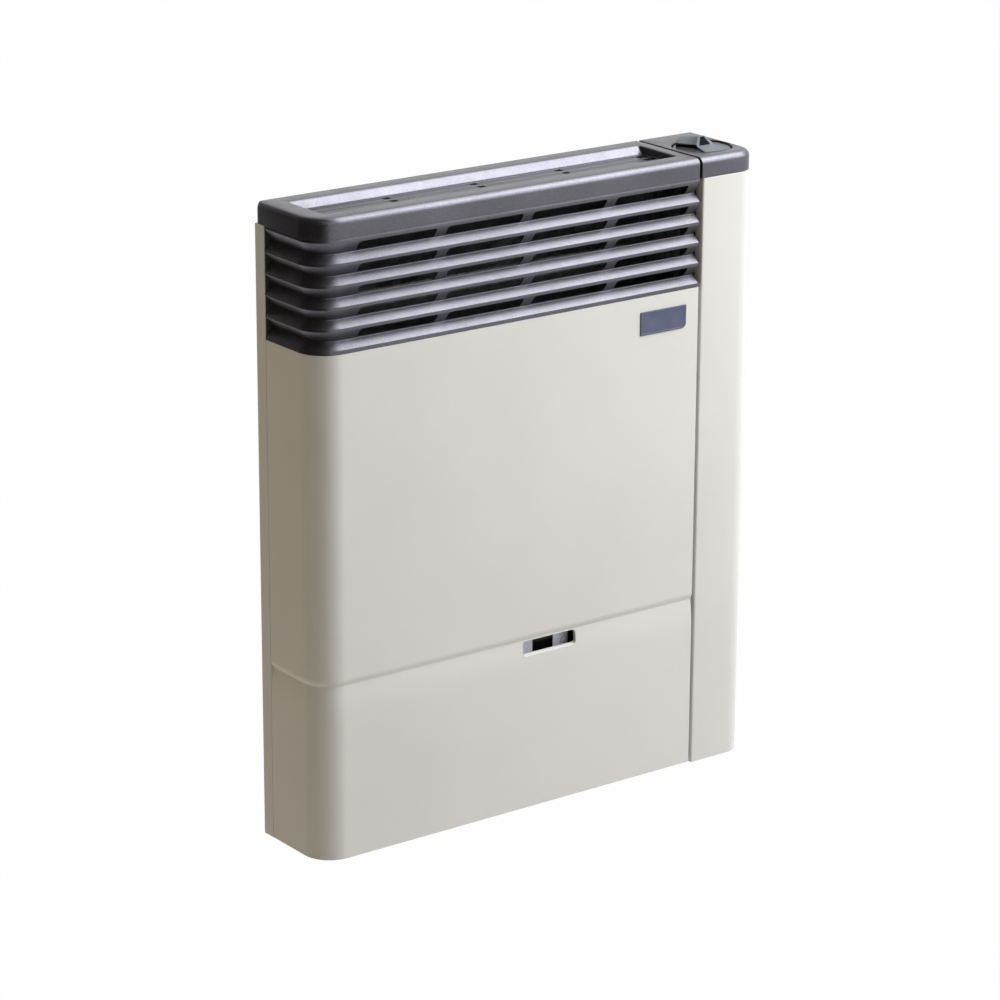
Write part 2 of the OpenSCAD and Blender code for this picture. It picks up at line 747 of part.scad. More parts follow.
module thermocouple_lead() color([0.76, 0.46, 0.30]) pipe_run([
    [probe_x, pilot_y, pilot_plate_z - lead_drop], [probe_x, pilot_y, probe_run_z],
    [probe_port_x, pilot_y, probe_run_z], [probe_port_x, pilot_y, valve_z]], lead_r, 6);

module spark_lead() color([0.75, 0.16, 0.12]) pipe_run([
    [spark_x, pilot_y, pilot_plate_z - lead_drop], [spark_x, pilot_y, spark_run_z],
    [igniter_x, pilot_y, spark_run_z], [igniter_x, knob_y, spark_run_z],
    [igniter_x, knob_y, igniter_z]], spark_lead_r, 8);

module burner_pipe() color([0.74, 0.75, 0.77]) pipe_run([
    [chamber_right + holder_l, burner_y, burner_z], [burner_port_x, burner_y, burner_z],
    [burner_port_x, burner_y, valve_z]], burner_pipe_r, 12);

module gas_inlet_pipe() color([0.74, 0.75, 0.77])
    translate([inlet_port_x, knob_y, shelf_z + shelf_t + union_hex_h])
        cylinder(r = inlet_pipe_r, h = valve_z - shelf_z - shelf_t - union_hex_h);

module inlet_union() color([0.82, 0.68, 0.34]) translate([inlet_port_x, knob_y, 0]) {
    translate([0, 0, shelf_z + shelf_t]) cylinder(r = inlet_thread_r + 2.75, h = union_hex_h, $fn = 6);
    translate([0, 0, shelf_z - union_neck_l])
        cylinder(r = union_neck_r, h = union_neck_l + shelf_t);
    translate([0, 0, shelf_z - union_neck_l - inlet_thread_l])
        cylinder(r = inlet_thread_r, h = inlet_thread_l);
}

module inlet_shelf() color([0.70, 0.71, 0.72]) difference() {
    union() {
        translate([shelf_x, knob_y - shelf_front, shelf_z])
            cube([shelf_w, back_y - knob_y + shelf_front, shelf_t]);
        translate([shelf_x, back_y - shelf_t, shelf_z]) cube([shelf_w, shelf_t, shelf_foot]);
    }
    translate([inlet_port_x, knob_y, 0]) cylinder(r = union_neck_r, h = far);
}

// ---------- valve ----------

module gas_valve() color([0.70, 0.71, 0.72]) difference() {
    union() {
        translate([valve_left, valve_back - valve_d, valve_z]) cube([valve_w, valve_d, valve_h]);
        translate([knob_x, knob_y, valve_z + valve_h]) cylinder(r = valve_boss_r, h = valve_boss_h);
        bar_y(knob_x, valve_back - valve_d, valve_screw_z, valve_plug_r, valve_plug_t);
    }
    translate([knob_x, knob_y, valve_top - spindle_bore])
        cylinder(r = spindle_r + spindle_play, h = far);
    for (s = [-1, 1]) bar_y(knob_x + s * valve_screw_x, valve_back + eps, valve_screw_z,
                            valve_screw_r, valve_screw_l + 2);
}

module valve_bracket() color([0.68, 0.69, 0.71]) difference() {
    translate([knob_x - valve_bracket_w / 2, 0, valve_bracket_z]) {
        translate([0, valve_back, 0]) cube([valve_bracket_w, valve_bracket_t, valve_bracket_h]);
        for (x = [0, valve_bracket_w - valve_bracket_t]) translate([x, valve_back, 0])
            cube([valve_bracket_t, back_y - valve_back, valve_bracket_h]);
        for (x = [0, valve_bracket_w - valve_bracket_foot])
            translate([x, back_y - valve_bracket_t, 0])
                cube([valve_bracket_foot, valve_bracket_t, valve_bracket_h]);
    }
    for (s = [-1, 1]) bar_y(knob_x + s * valve_screw_x, valve_back + valve_bracket_t + 1,
                            valve_screw_z, valve_screw_r, valve_screw_l);
}

module valve_screws() color([0.72, 0.72, 0.73]) for (s = [-1, 1])
    translate([knob_x + s * valve_screw_x, valve_back + valve_bracket_t, valve_screw_z]) {
        bar_y(0, 0, 0, valve_screw_r, valve_screw_l);
        bar_y(0, 2.5, 0, valve_screw_r + 1.5, 2.5);
    }

module piezo_igniter() color([0.12, 0.12, 0.13]) translate([igniter_x, knob_y, igniter_z]) {
    cylinder(r = igniter_r, h = igniter_l);
    translate([0, 0, igniter_l]) cylinder(r = igniter_r - 2.5, h = igniter_stem_h);
}

// ---------- spindle, spring and knob ----------

// The k-th point of the i-th ring of the spring's wire
function at(i, k) = i * spring_sides + k % spring_sides;
module return_spring() color([0.80, 0.81, 0.82]) {
    rings = spring_turns * spring_steps;
    rise = spring_l - 2 * spring_wire;
    pts = [for (i = [0:rings]) let (a = 360 * i / spring_steps, z = spring_wire + rise * i / rings)
           for (k = [0:spring_sides - 1]) let (b = 360 * k / spring_sides)
           [(spring_r + spring_wire * cos(b)) * cos(a), (spring_r + spring_wire * cos(b)) * sin(a),
            z + spring_wire * sin(b)]];
    faces = concat(
        [for (i = [0:rings - 1], k = [0:spring_sides - 1]) [at(i, k), at(i, k + 1), at(i + 1, k)]],
        [for (i = [0:rings - 1], k = [0:spring_sides - 1])
            [at(i, k + 1), at(i + 1, k + 1), at(i + 1, k)]],
        [for (k = [1:spring_sides - 2]) [at(0, 0), at(0, k + 1), at(0, k)]],
        [for (k = [1:spring_sides - 2]) [at(rings, 0), at(rings, k), at(rings, k + 1)]]);
    translate([knob_x, knob_y, valve_top]) polyhedron(pts, faces);
}

module push_collar() color([0.75, 0.76, 0.77])
    translate([knob_x, knob_y, shoulder_z - collar_h]) difference() {
        cylinder(r = collar_r, h = collar_h - 0.05);
        translate([0, 0, -1]) cylinder(r = spindle_r + spindle_play, h = far);
    }

module knob_spindle() color([0.74, 0.75, 0.76]) {
    translate([knob_x, knob_y, spindle_z]) cylinder(r = spindle_r, h = spindle_top - spindle_z);
    translate([knob_x, knob_y, shoulder_z]) cylinder(r = 2 * spindle_r, h = shoulder_h);
}

// Disc with a chamfered edge and the spindle's hub
module knob_disc() difference() {
    union() {
        translate([0, 0, knob_bottom]) cylinder(r = knob_r, h = knob_t - knob_chamfer);
        translate([0, 0, knob_top - knob_chamfer])
            cylinder(r1 = knob_r, r2 = knob_r - knob_chamfer, h = knob_chamfer);
        translate([0, 0, hub_z]) cylinder(r = hub_r, h = knob_bottom - hub_z + eps);
    }
    translate([0, 0, hub_z - 1]) cylinder(r = spindle_r, h = spindle_top - hub_z + 1);
}

// Grip in side view: low in front, a leaning face at the waist, and a crest that falls to the rear
grip_side = [
    [-knob_r, -1], [-knob_r, nose_h / 2], [grip_waist, nose_h], [grip_front, grip_h],
    [knob_r, grip_tail_h], [knob_r, -1]
];
// Cross-section of the grip's rear fan at y, with sides w apart and flanks that meet at height h
module grip_slice(y, w, h) translate([0, y + 1, 0]) rotate([90, 0, 0]) linear_extrude(1)
    polygon([[-w / 2, -1], [w / 2, -1], [w / 2, grip_side_h], [crest_w / 2, h + crest_over],
             [-crest_w / 2, h + crest_over], [-w / 2, grip_side_h]]);
// Grip like a bow tie in plan: a high fan behind its waist and a low one in front
module knob_grip() translate([0, 0, knob_top]) intersection() {
    translate([-far / 2, 0, 0]) rotate([90, 0, 90]) linear_extrude(far) polygon(grip_side);
    union() {
        hull() {
            grip_slice(grip_waist - 2, grip_w, grip_h);
            grip_slice(knob_r, grip_tail_w, grip_tail_h);
        }
        translate([0, 0, -1]) linear_extrude(nose_h + 1.5)
            polygon([[-grip_nose_w / 2, -knob_r], [grip_nose_w / 2, -knob_r],
                     [grip_w / 2 - 1, grip_front], [1 - grip_w / 2, grip_front]]);
    }
    translate([0, 0, -2]) cylinder(r = grip_r, h = grip_h + 4);
}

module control_knob() color([0.42, 0.43, 0.46]) translate([knob_x, knob_y, 0]) {
    knob_disc();
    knob_grip();
}

// ---------- covers ----------

module partition_plate() color([0.45, 0.43, 0.36]) difference() {
    translate([partition_x, -case_d + flange_w, 0]) {
        cube([sheet_t, case_d - flange_w - sheet_t, frame_top - sheet_t]);
        translate([0, case_d - flange_w - 2 * sheet_t, 0]) cube([flange_w, sheet_t, shelf_z]);
    }
    translate([0, pilot_y - 8, spark_run_z - 8])
        cube([far, burner_y - pilot_y + 20, burner_z - spark_run_z + 20]);
}

// The front cover's skin in section, from its lower edge to its top, and its wall of thickness t
cover_skin = [
    [left_r, 0], [left_r, seam_z - seam_lip - seam_ramp], [left_r - seam_in, seam_z - seam_lip],
    [left_r, seam_z], [left_r, cover_top]
];
function cover_wall(t) = concat(cover_skin, [
    [left_r - t, cover_top], [left_r - t, seam_z + t / 2], [left_r - seam_in - t, seam_z - seam_lip],
    [left_r - t, seam_z - seam_lip - seam_ramp], [left_r - t, 0]
]);
cover_edge = concat(cover_skin, [[left_r - flange_w, cover_top], [left_r - flange_w, 0]]);
module slot_outline(grow) translate([slot_x - grow, slot_z - grow])
    rounded_rect(slot_w + 2 * grow, slot_h + 2 * grow, slot_r + grow);
module front_cover() color([0.86, 0.85, 0.80]) {
    difference() {
        union() {
            wrap_left(side_run, cover_right - left_r) polygon(cover_wall(sheet_t));
            // flange drawn in round the viewing slot
            intersection() {
                translate([left_r, left_r - case_d, 0]) along_x(cover_right - left_r)
                    polygon(cover_wall(slot_flange));
                facing(-case_d / 2, far) slot_outline(sheet_t);
            }
        }
        facing(-case_d / 2, far) slot_outline(0);
    }
    // right return, left return and lower flange
    translate([cover_right - sheet_t, left_r - case_d, 0]) along_x(sheet_t) polygon(cover_edge);
    translate([sheet_t / 2, -frame_d - sheet_t, sheet_t])
        cube([flange_w + sheet_t / 2, sheet_t, cover_top - sheet_t]);
    difference() {
        wrap_left(side_run, cover_right - left_r) translate([left_r - flange_w, 0])
            square([flange_w - sheet_t / 2, sheet_t]);
        for (x = [arm_left_x, arm_right_x])
            translate([x + arm_foot / 2, -case_d + cover_screw_in, -1])
                cylinder(r = cover_screw_r + fit, h = 10);
    }
}

module cover_arms() color([0.66, 0.67, 0.68]) for (x = [arm_left_x, arm_right_x]) difference() {
    union() {
        translate([x, -case_d + flange_w + 1, sheet_t])
            cube([arm_t, case_d - flange_w - 1 - sheet_t, arm_w]);
        translate([x, -case_d + sheet_t, sheet_t]) cube([arm_foot, flange_w + 1, arm_t]);
        translate([x, back_y - arm_t, sheet_t]) cube([arm_foot, arm_t, arm_w]);
    }
    translate([x + arm_foot / 2, -case_d + cover_screw_in, -1]) cylinder(r = cover_screw_r, h = 10);
}

module cover_screws() color([0.72, 0.72, 0.72]) for (x = [arm_left_x, arm_right_x])
    translate([x + arm_foot / 2, -case_d + cover_screw_in, -1.6]) {
        cylinder(r = cover_screw_r + 1.5, h = 1.6);
        cylinder(r = cover_screw_r, h = sheet_t + arm_t + 4);
    }

module column_cover() color([0.90, 0.89, 0.85]) translate([0, 0, -column_drop]) {
    h = cap_z + column_drop;
    wrap_right(case_d - right_r, column_w - right_r - column_edge_r)
        translate([right_r - sheet_t, 0]) square([sheet_t, h]);
    translate([column_x + column_edge_r, -case_d + column_edge_r, 0]) {
        rotate([0, 0, 180]) rotate_extrude(angle = 90)
            translate([column_edge_r - sheet_t, 0]) square([sheet_t, h]);
        translate([-column_edge_r, 0, 0]) cube([sheet_t, flange_w, h]);
    }
}

module heat_deflector() color([0.80, 0.81, 0.88])
    translate([chamber_x, back_y, grille_z + 10]) along_x(cover_right - chamber_x - 20)
        polygon([[0, 0], [1, 0], [1, deflector_foot], [deflector_out, deflector_h],
                 [deflector_out, deflector_h + 1.2], [0, deflector_foot + 1.5]]);

// ---------- louvre grille, caps and badge ----------

function crease_z(k) = cap_z - louvre_band - (k - 1) * louvre_pitch;
grille_skin = concat(
    [[left_r, cap_z], [left_r, cap_z - louvre_lip]],
    [for (k = [1:louvre_rows]) for (p = [
        [left_r - louvre_in, crease_z(k)], [left_r, crease_z(k) - louvre_slope_h],
        [left_r, crease_z(k) - louvre_slope_h - (k < louvre_rows ? louvre_lip : louvre_base)]]) p]);
grille_section = concat(grille_skin,
    [for (i = [len(grille_skin) - 1:-1:0]) [grille_skin[i][0] - grille_t, grille_skin[i][1]]]);
module louvre_grille() color([0.36, 0.36, 0.38]) {
    difference() {
        wrap_left(side_run, cap_right - left_r) polygon(grille_section);
        for (k = [1:louvre_rows], i = [0:air_slots - 1])
            translate([air_slot_x0 + i * (air_slot_w + air_rib_w), 0, crease_z(k) + 0.5])
                facing(-case_d + louvre_in + grille_t + 4, louvre_in + grille_t + 10)
                    rounded_rect(air_slot_w, air_slot_h, air_slot_r);
    }
    // skirt that slips inside the front cover, clear of its two returns
    translate([0, 0, grille_z - skirt_h]) wrap_left(side_run - 2 * sheet_t,
                                                    cover_right - 2 * sheet_t - left_r)
        translate([left_r - sheet_t - grille_t, 0]) square([grille_t, skirt_h + grille_t]);
    // closed right end
    translate([cap_right - grille_t, left_r - case_d, 0]) along_x(grille_t)
        polygon(concat(grille_skin, [[left_r - grille_end_d, grille_z],
                                     [left_r - grille_end_d, cap_z]]));
}

// Outline of a cap's edge, from the corner's axis out to its skin, drawn in by inset
module cap_section(r, inset) {
    e = cap_edge_r - inset;
    z0 = inset > 0 ? cap_z - 1 : cap_z;
    square_h = case_h - inset - e - z0;
    translate([0, z0]) square([r - inset, square_h]);
    translate([0, z0]) square([r - inset - e, square_h + e]);
    translate([r - inset - e, z0 + square_h]) circle(e);
}

// The solid form of the top cap, drawn in by inset from every outer face
module top_cap_form(inset) {
    z0 = inset > 0 ? cap_z - 1 : cap_z;
    wrap_left(case_d - left_r - inset, cap_right - inset - left_r) cap_section(left_r, inset);
    translate([left_r - eps, -case_d + left_r - eps, z0])
        cube([cap_right - inset - left_r + eps, case_d - left_r - inset + eps, case_h - inset - z0]);
}

// Bosses and holes for the screws that come up through the rear frame's top flange
module cap_bosses(places) for (x = places)
    translate([x, -frame_d / 2, cap_z]) cylinder(r = cap_boss_r, h = cap_h - cap_t + eps);
module cap_screw_holes(places, r) for (x = places)
    translate([x, -frame_d / 2, cap_z - 3]) cylinder(r = r, h = cap_screw_l + 1);

module top_cap() color([0.40, 0.40, 0.42]) difference() {
    top_cap_form(0);
    difference() {
        top_cap_form(cap_t);
        translate([well_left - cap_t, -case_d + well_front - cap_t,
                   case_h - well_deep - well_floor_t])
            cube([well_w + 2 * cap_t, well_d + 2 * cap_t, well_deep + well_floor_t - cap_t]);
        cap_bosses(top_screw_x);
    }
    translate([well_left, -well_back, case_h - well_deep]) along_x(well_w) polygon([
        [well_slope, 0], [well_d, 0], [well_d, far], [0, far], [0, well_deep]]);
    // outlet slots between bars and ribs
    for (i = [0:outlet_rows - 1], x = [0:outlet_rib_pitch:well_w - outlet_rib_pitch / 4])
        translate([well_left + outlet_bar + x,
                   -case_d + well_front + outlet_bar + i * (outlet_w + outlet_bar), cap_z])
            cube([min(outlet_rib_pitch - outlet_bar, well_w - x - 2 * outlet_bar), outlet_w, far]);
    // rounded rear left corner
    translate([0, 0, cap_z - 1]) linear_extrude(far) difference() {
        translate([-1, -cap_rear_r]) square(cap_rear_r + 1);
        translate([cap_rear_r, -cap_rear_r]) circle(cap_rear_r);
        translate([cap_rear_r, -cap_rear_r]) square(cap_rear_r);
    }
    cap_screw_holes(top_screw_x, cap_screw_r);
}

module column_cap_form(inset) {
    z0 = inset > 0 ? cap_z - 1 : cap_z;
    x0 = column_cap_x + inset;
    wrap_right(case_d - right_r - inset, case_w - right_r - x0) cap_section(right_r, inset);
    translate([x0, -case_d + right_r - eps, z0])
        cube([case_w - right_r - x0 + eps, case_d - right_r - inset + eps, case_h - inset - z0]);
}

module column_cap() color([0.40, 0.40, 0.42]) difference() {
    column_cap_form(0);
    difference() {
        column_cap_form(cap_t);
        translate([knob_x, knob_y, knob_well_z - cap_t])
            cylinder(r = knob_r + knob_gap + cap_t, h = far);
        cap_bosses(column_screw_x);
    }
    translate([knob_x, knob_y, knob_well_z]) cylinder(r = knob_r + knob_gap, h = far);
    translate([knob_x, knob_y, cap_z - far / 2]) cylinder(r = hub_r + knob_gap, h = far);
    cap_screw_holes(column_screw_x, cap_screw_r);
}

module cap_screws() color([0.72, 0.72, 0.72]) for (x = concat(top_screw_x, column_screw_x))
    translate([x, -frame_d / 2, frame_top - sheet_t - cap_screw_head]) {
        cylinder(r = 2 * cap_screw_r, h = cap_screw_head);
        cylinder(r = cap_screw_r, h = cap_screw_l);
    }

module badge_plate() color([0.34, 0.37, 0.47])
    facing(-case_d, badge_t) translate([badge_x, badge_z]) difference() {
        square([badge_w, badge_h]);
        difference() {
            translate([badge_w - badge_r, -1]) square([badge_r + 1, badge_r + 1]);
            translate([badge_w - badge_r, badge_r]) circle(badge_r);
        }
    }

place() rear_frame();
place() rear_shield();
place() chamber_brackets();
place() chamber_back();
place() chamber_gasket();
place() chamber_front();
place() chamber_bolts();
place() exhaust_duct();
place() air_duct();
place() duct_seals();
place() window_gasket();
place() window_glass();
place() window_frame();
place() window_screws();
place() burner_tube();
place() burner_bracket();
place() injector_holder();
place() injector();
place() pilot_bracket();
place() pilot_burner();
place() thermocouple();
place() spark_electrode();
place() lead_seal();
place() pilot_pipe();
place() thermocouple_lead();
place() spark_lead();
place() burner_pipe();
place() gas_inlet_pipe();
place() inlet_union();
place() inlet_shelf();
place() gas_valve();
place() valve_bracket();
place() valve_screws();
place() piezo_igniter();
place() partition_plate();
place() cover_arms();
place() front_cover();
place() cover_screws();
place() column_cover();
place() heat_deflector();
place() louvre_grille();
place() top_cap();
place() column_cap();
place() cap_screws();
place() badge_plate();
place() return_spring();
place() push_collar();
place() knob_spindle();
place() control_knob();
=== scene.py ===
"""A wall-mounted gas heater with a louvred grille, a control column and a push-and-turn knob.

Sizes are in millimetres from the lower left corner of the case on the wall; spot() turns them
into the frame's metres.
"""
import json
import math

import bmesh
import bpy
from mathutils import Matrix, Vector


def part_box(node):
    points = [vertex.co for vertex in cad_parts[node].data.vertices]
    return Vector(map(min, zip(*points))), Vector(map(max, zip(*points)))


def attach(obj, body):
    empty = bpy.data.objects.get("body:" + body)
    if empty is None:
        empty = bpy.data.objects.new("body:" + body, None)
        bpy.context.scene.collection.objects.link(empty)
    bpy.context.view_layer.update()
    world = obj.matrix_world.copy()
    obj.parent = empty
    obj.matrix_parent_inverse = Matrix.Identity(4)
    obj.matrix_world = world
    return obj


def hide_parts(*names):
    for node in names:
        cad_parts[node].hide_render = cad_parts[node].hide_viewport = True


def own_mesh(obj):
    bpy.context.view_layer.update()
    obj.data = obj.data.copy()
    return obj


MM = 0.001
SAME_PLACE = 1e-6  # metres between points that are one point
CASE_W, CASE_H, CASE_D = 595.0, 715.0, 113.0
SHEET = 1.2
LEFT_R, RIGHT_R = 34.0, 25.0
STRIP_D, SIDE_GAP = 17.0, 0.8
COVER_BACK = -STRIP_D - SIDE_GAP
COVER_RIGHT, COVER_TOP = 512.0, 569.0
COLUMN_X, COLUMN_TOP, COLUMN_DROP, COLUMN_EDGE_R = 516.0, 692.0, 2.0, 2.2
CAP_Z, CAP_RIGHT, COLUMN_CAP_X = 692.0, 511.0, 514.5
CAP_EDGE, CRISP_R, RIGHT_MARGIN = 8.0, 0.8, 13.5
KNOB_X, KNOB_Y = 553.25, -64.0


def spot(x, y, z):
    """A point of the case, in the frame's metres."""
    return Vector(((x - CASE_W / 2) * MM, y * MM, (z - CASE_H / 2) * MM))


def tint(red, green, blue):
    """A colour as a screen shows it, from 0 to 255, in the linear values that shaders use."""
    def linear(v):
        v /= 255.0
        return v / 12.92 if v <= 0.04045 else ((v + 0.055) / 1.055) ** 2.4
    return (linear(red), linear(green), linear(blue), 1.0)


def dimmed(colour, share):
    """A colour times a share, up to white."""
    return tuple(min(1.0, c * share) for c in colour[:3]) + (1.0,)


# ---------- shader maths ----------

USUAL_LOW, USUAL_HIGH = 0.3, 0.7  # most of a noise's values lie between these
MIX_SHARE, MIX_FIRST, MIX_SECOND, MIX_COLOUR = 0, 6, 7, 2  # the Mix node's colour sockets


class Wire:
    """A socket of a node. Sums, products and the like of wires add the nodes that work them out."""

    def __init__(self, board, socket):
        self.board, self.socket = board, socket

    def maths(self, operation, first, second):
        vector = any(isinstance(v, Wire) and v.socket.type == "VECTOR" for v in (first, second))
        kind = "ShaderNodeVectorMath" if vector else "ShaderNodeMath"
        return self.board.node(kind, {"operation": operation}, {0: first, 1: second})

    def __add__(self, other): return self.maths("ADD", self, other)
    def __radd__(self, other): return self.maths("ADD", other, self)
    def __sub__(self, other): return self.maths("SUBTRACT", self, other)
    def __rsub__(self, other): return self.maths("SUBTRACT", other, self)
    def __mul__(self, other): return self.maths("MULTIPLY", self, other)
    def __rmul__(self, other): return self.maths("MULTIPLY", other, self)
    def at_least(self, other): return self.maths("MAXIMUM", self, other)
    def above(self, other): return self.maths("GREATER_THAN", self, other)
    def below(self, other): return self.maths("LESS_THAN", self, other)

    def beside(self, name):
        """Another output of the same node."""
        return Wire(self.board, self.socket.node.outputs[name])


class Board:
    """The node tree of one finish."""

    def __init__(self, tree):
        self.tree = tree
        tree.nodes.clear()

    def node(self, kind, settings=None, sockets=None, out=0):
        """Adds a node: its settings first, then what goes into its sockets. Gives one output."""
        made = self.tree.nodes.new(kind)
        for key, value in (settings or {}).items():
            setattr(made, key, value)
        for key, value in (sockets or {}).items():
            socket = made.inputs[key]
            if isinstance(value, Wire):
                self.tree.links.new(value.socket, socket)
            else:
                socket.default_value = value
        return Wire(self, made.outputs[out])

    def place(self):
        """Where a point of the piece lies, in metres of its own frame."""
        return self.node("ShaderNodeTexCoord", out="Object")

    def noise(self, scale, detail=2.0, rough=0.5, at=None):
        """Values from 0 to 1 around one half, in lumps of about 1 / scale metres."""
        return self.node("ShaderNodeTexNoise", {}, {
            "Vector": at or self.place(), "Scale": scale, "Detail": detail, "Roughness": rough})

    def cells(self, scale, out="Distance"):
        """Cells of about 1 / scale metres: how far their middle is, or one random colour each."""
        return self.node("ShaderNodeTexVoronoi", {}, {
            "Vector": self.place(), "Scale": scale}, out=out)

    def spread(self, value, low, high):
        """A value around one half, spread so that its usual range runs from low to high."""
        return self.node("ShaderNodeMapRange", {"clamp": True}, {
            "Value": value, "From Min": USUAL_LOW, "From Max": USUAL_HIGH,
            "To Min": low, "To Max": high})

    def fade(self, value, start, end):
        """From 0 at start to 1 at end, without a kink at either."""
        return self.node("ShaderNodeMapRange", {"interpolation_type": "SMOOTHSTEP"}, {
            "Value": value, "From Min": start, "From Max": end, "To Min": 0.0, "To Max": 1.0})

    def blend(self, share, first, second):
        """The first colour where the share is 0, and the second where it is 1."""
        return self.node("ShaderNodeMix", {"data_type": "RGBA"}, {
            MIX_SHARE: share, MIX_FIRST: first, MIX_SECOND: second}, out=MIX_COLOUR)

    def bump(self, height, distance, strength):
        """A relief of the surface's shading, its distance in metres."""
        return self.node("ShaderNodeBump", {}, {
            "Height": height, "Distance": distance, "Strength": strength})

    def surface(self, shader, kind="ShaderNodeOutputMaterial"):
        """Sends a shader to the tree's output."""
        out = self.tree.nodes.new(kind)
        self.tree.links.new(shader.socket, out.inputs["Surface"])


def new_finish(name):
    """An empty material and its board."""
    material = bpy.data.materials.new(name)
    material.use_nodes = True
    return material, Board(material.node_tree)


def shaded(name, sockets_of):
    """A finish with one main shader, whose sockets come from a function of its board."""
    material, board = new_finish(name)
    board.surface(board.node("ShaderNodeBsdfPrincipled", {}, sockets_of(board)))
    return material


# ---------- finishes ----------

def powder_coat(name, colour):
    """Satin sheet paint: a fine orange peel, a faint drift of tone and faint rub marks."""
    def sockets(b):
        drift = b.spread(b.noise(7.0, 3.0), 0.0, 1.0)
        speck = b.spread(b.noise(520.0, 2.0), 0.0, 1.0)
        tone = b.blend(drift * 0.75 + speck * 0.25, dimmed(colour, 0.955), dimmed(colour, 1.02))
        rub = b.spread(b.noise(26.0, 4.0, 0.6), 0.40, 0.52)
        peel = b.noise(950.0, 2.0) * 0.7 + b.noise(240.0, 1.0) * 0.3
        return {"Base Color": tone, "Roughness": rub,
                "Normal": b.bump(peel, 0.00006, 0.35)}
    return shaded(name, sockets)


def graphite_paint(name):
    """Metallic graphite paint: fine flakes in a dark binder, satin, with a fine mould grain."""
    def sockets(b):
        flakes = b.spread(b.cells(1500.0, "Color"), 0.0, 1.0)
        drift = b.spread(b.noise(11.0, 3.0), 0.0, 1.0)
        tone = b.blend(flakes * 0.6 + drift * 0.4, tint(87, 86, 92), tint(109, 108, 115))
        dull = b.spread(b.noise(45.0, 4.0, 0.6), 0.30, 0.38)
        grain = b.noise(1100.0, 2.0)
        return {"Base Color": tone, "Metallic": 0.82, "Roughness": dull,
                "Normal": b.bump(grain, 0.00005, 0.4)}
    return shaded(name, sockets)


def black_enamel(name):
    """Heat-proof enamel on pressed steel: deep brown-black with fired speckle."""
    def sockets(b):
        fired = b.spread(b.noise(160.0, 4.0, 0.65), 0.0, 1.0)
        tone = b.blend(fired, tint(30, 29, 29), tint(48, 46, 44))
        return {"Base Color": tone, "Roughness": b.spread(b.noise(60.0, 3.0), 0.45, 0.68),
                "Normal": b.bump(b.noise(700.0, 3.0), 0.00008, 0.4)}
    return shaded(name, sockets)


def galvanised(name, colour):
    """Zinc-dipped sheet with its spangle."""
    def sockets(b):
        flake = b.node("ShaderNodeSeparateColor", {}, {"Color": b.cells(95.0, "Color")})
        spangle = b.spread(flake, 0.0, 1.0)
        return {"Base Color": b.blend(spangle, dimmed(colour, 0.78), dimmed(colour, 1.12)),
                "Metallic": 1.0, "Roughness": b.spread(b.noise(180.0, 3.0), 0.32, 0.5),
                "Normal": b.bump(b.noise(420.0, 2.0), 0.00004, 0.4)}
    return shaded(name, sockets)


def anodised(name, dark, light):
    """Matt bright metal: a fine brushed grain, faint stains."""
    def sockets(b):
        brushed = b.noise(900.0, 3.0, 0.6, at=b.place() * (0.06, 1.0, 1.0))
        stain = b.spread(b.noise(70.0, 3.0), 0.0, 1.0)
        return {"Base Color": b.blend(stain, dark, light), "Metallic": 0.08,
                "Roughness": b.spread(brushed, 0.42, 0.56),
                "Normal": b.bump(brushed, 0.00003, 0.4)}
    return shaded(name, sockets)


def frame_coat(name, colour):
    """The rear frame: covers' paint on its strip and back, bare zinc sheet inside the case, its
    zinc darkened far below bright zinc as painted shade.
    """
    left, right, back = (-CASE_W / 2 + 1.0) * MM, (CASE_W / 2 - 2.4) * MM, -0.6 * MM

    def sockets(b):
        x = b.node("ShaderNodeSeparateXYZ", {}, {0: b.place()})
        inside = x.above(left) * x.below(right) * x.beside("Y").below(back)
        drift = b.spread(b.noise(9.0, 3.0), 0.0, 1.0)
        paint = b.blend(drift, dimmed(colour, 0.96), colour)
        spangle = b.spread(b.noise(70.0, 3.0), 0.0, 1.0)
        # painted shade: the inside zinc is a very dark grey, so the case's interior seen through
        # the louvres looks shaded
        zinc = b.blend(spangle, (0.10, 0.10, 0.105, 1.0), (0.16, 0.16, 0.17, 1.0))
        return {"Base Color": b.blend(inside, paint, zinc), "Metallic": inside * 0.75,
                "Roughness": 0.44 + b.noise(60.0, 3.0) * 0.1,
                "Normal": b.bump(b.noise(900.0, 2.0), 0.00005, 0.35)}
    return shaded(name, sockets)


def worked_metal(name, colour, rough, scale=260.0, stretch=(1.0, 1.0, 1.0)):
    """Plated, drawn or machined metal: fine lines one way, and slight tarnish."""
    def sockets(b):
        lines = b.noise(scale, 3.0, 0.6, at=b.place() * stretch)
        tarnish = b.spread(b.noise(38.0, 4.0), 0.0, 1.0)
        return {"Base Color": b.blend(tarnish, dimmed(colour, 0.74), colour), "Metallic": 1.0,
                "Roughness": b.spread(lines, rough - 0.06, rough + 0.12),
                "Normal": b.bump(lines, 0.00003, 0.4)}
    return shaded(name, sockets)


def seal_fibre(name):
    """Woven mineral-fibre tape."""
    def sockets(b):
        warp, weft = (b.node("ShaderNodeTexWave", {"bands_direction": way}, {
            "Vector": b.place(), "Scale": 260.0, "Distortion": 2.0}) for way in ("X", "Z"))
        cloth = warp * weft
        return {"Base Color": b.blend(cloth, tint(176, 170, 156), tint(226, 221, 208)),
                "Roughness": 0.95, "Normal": b.bump(cloth, 0.0002, 0.6)}
    return shaded(name, sockets)


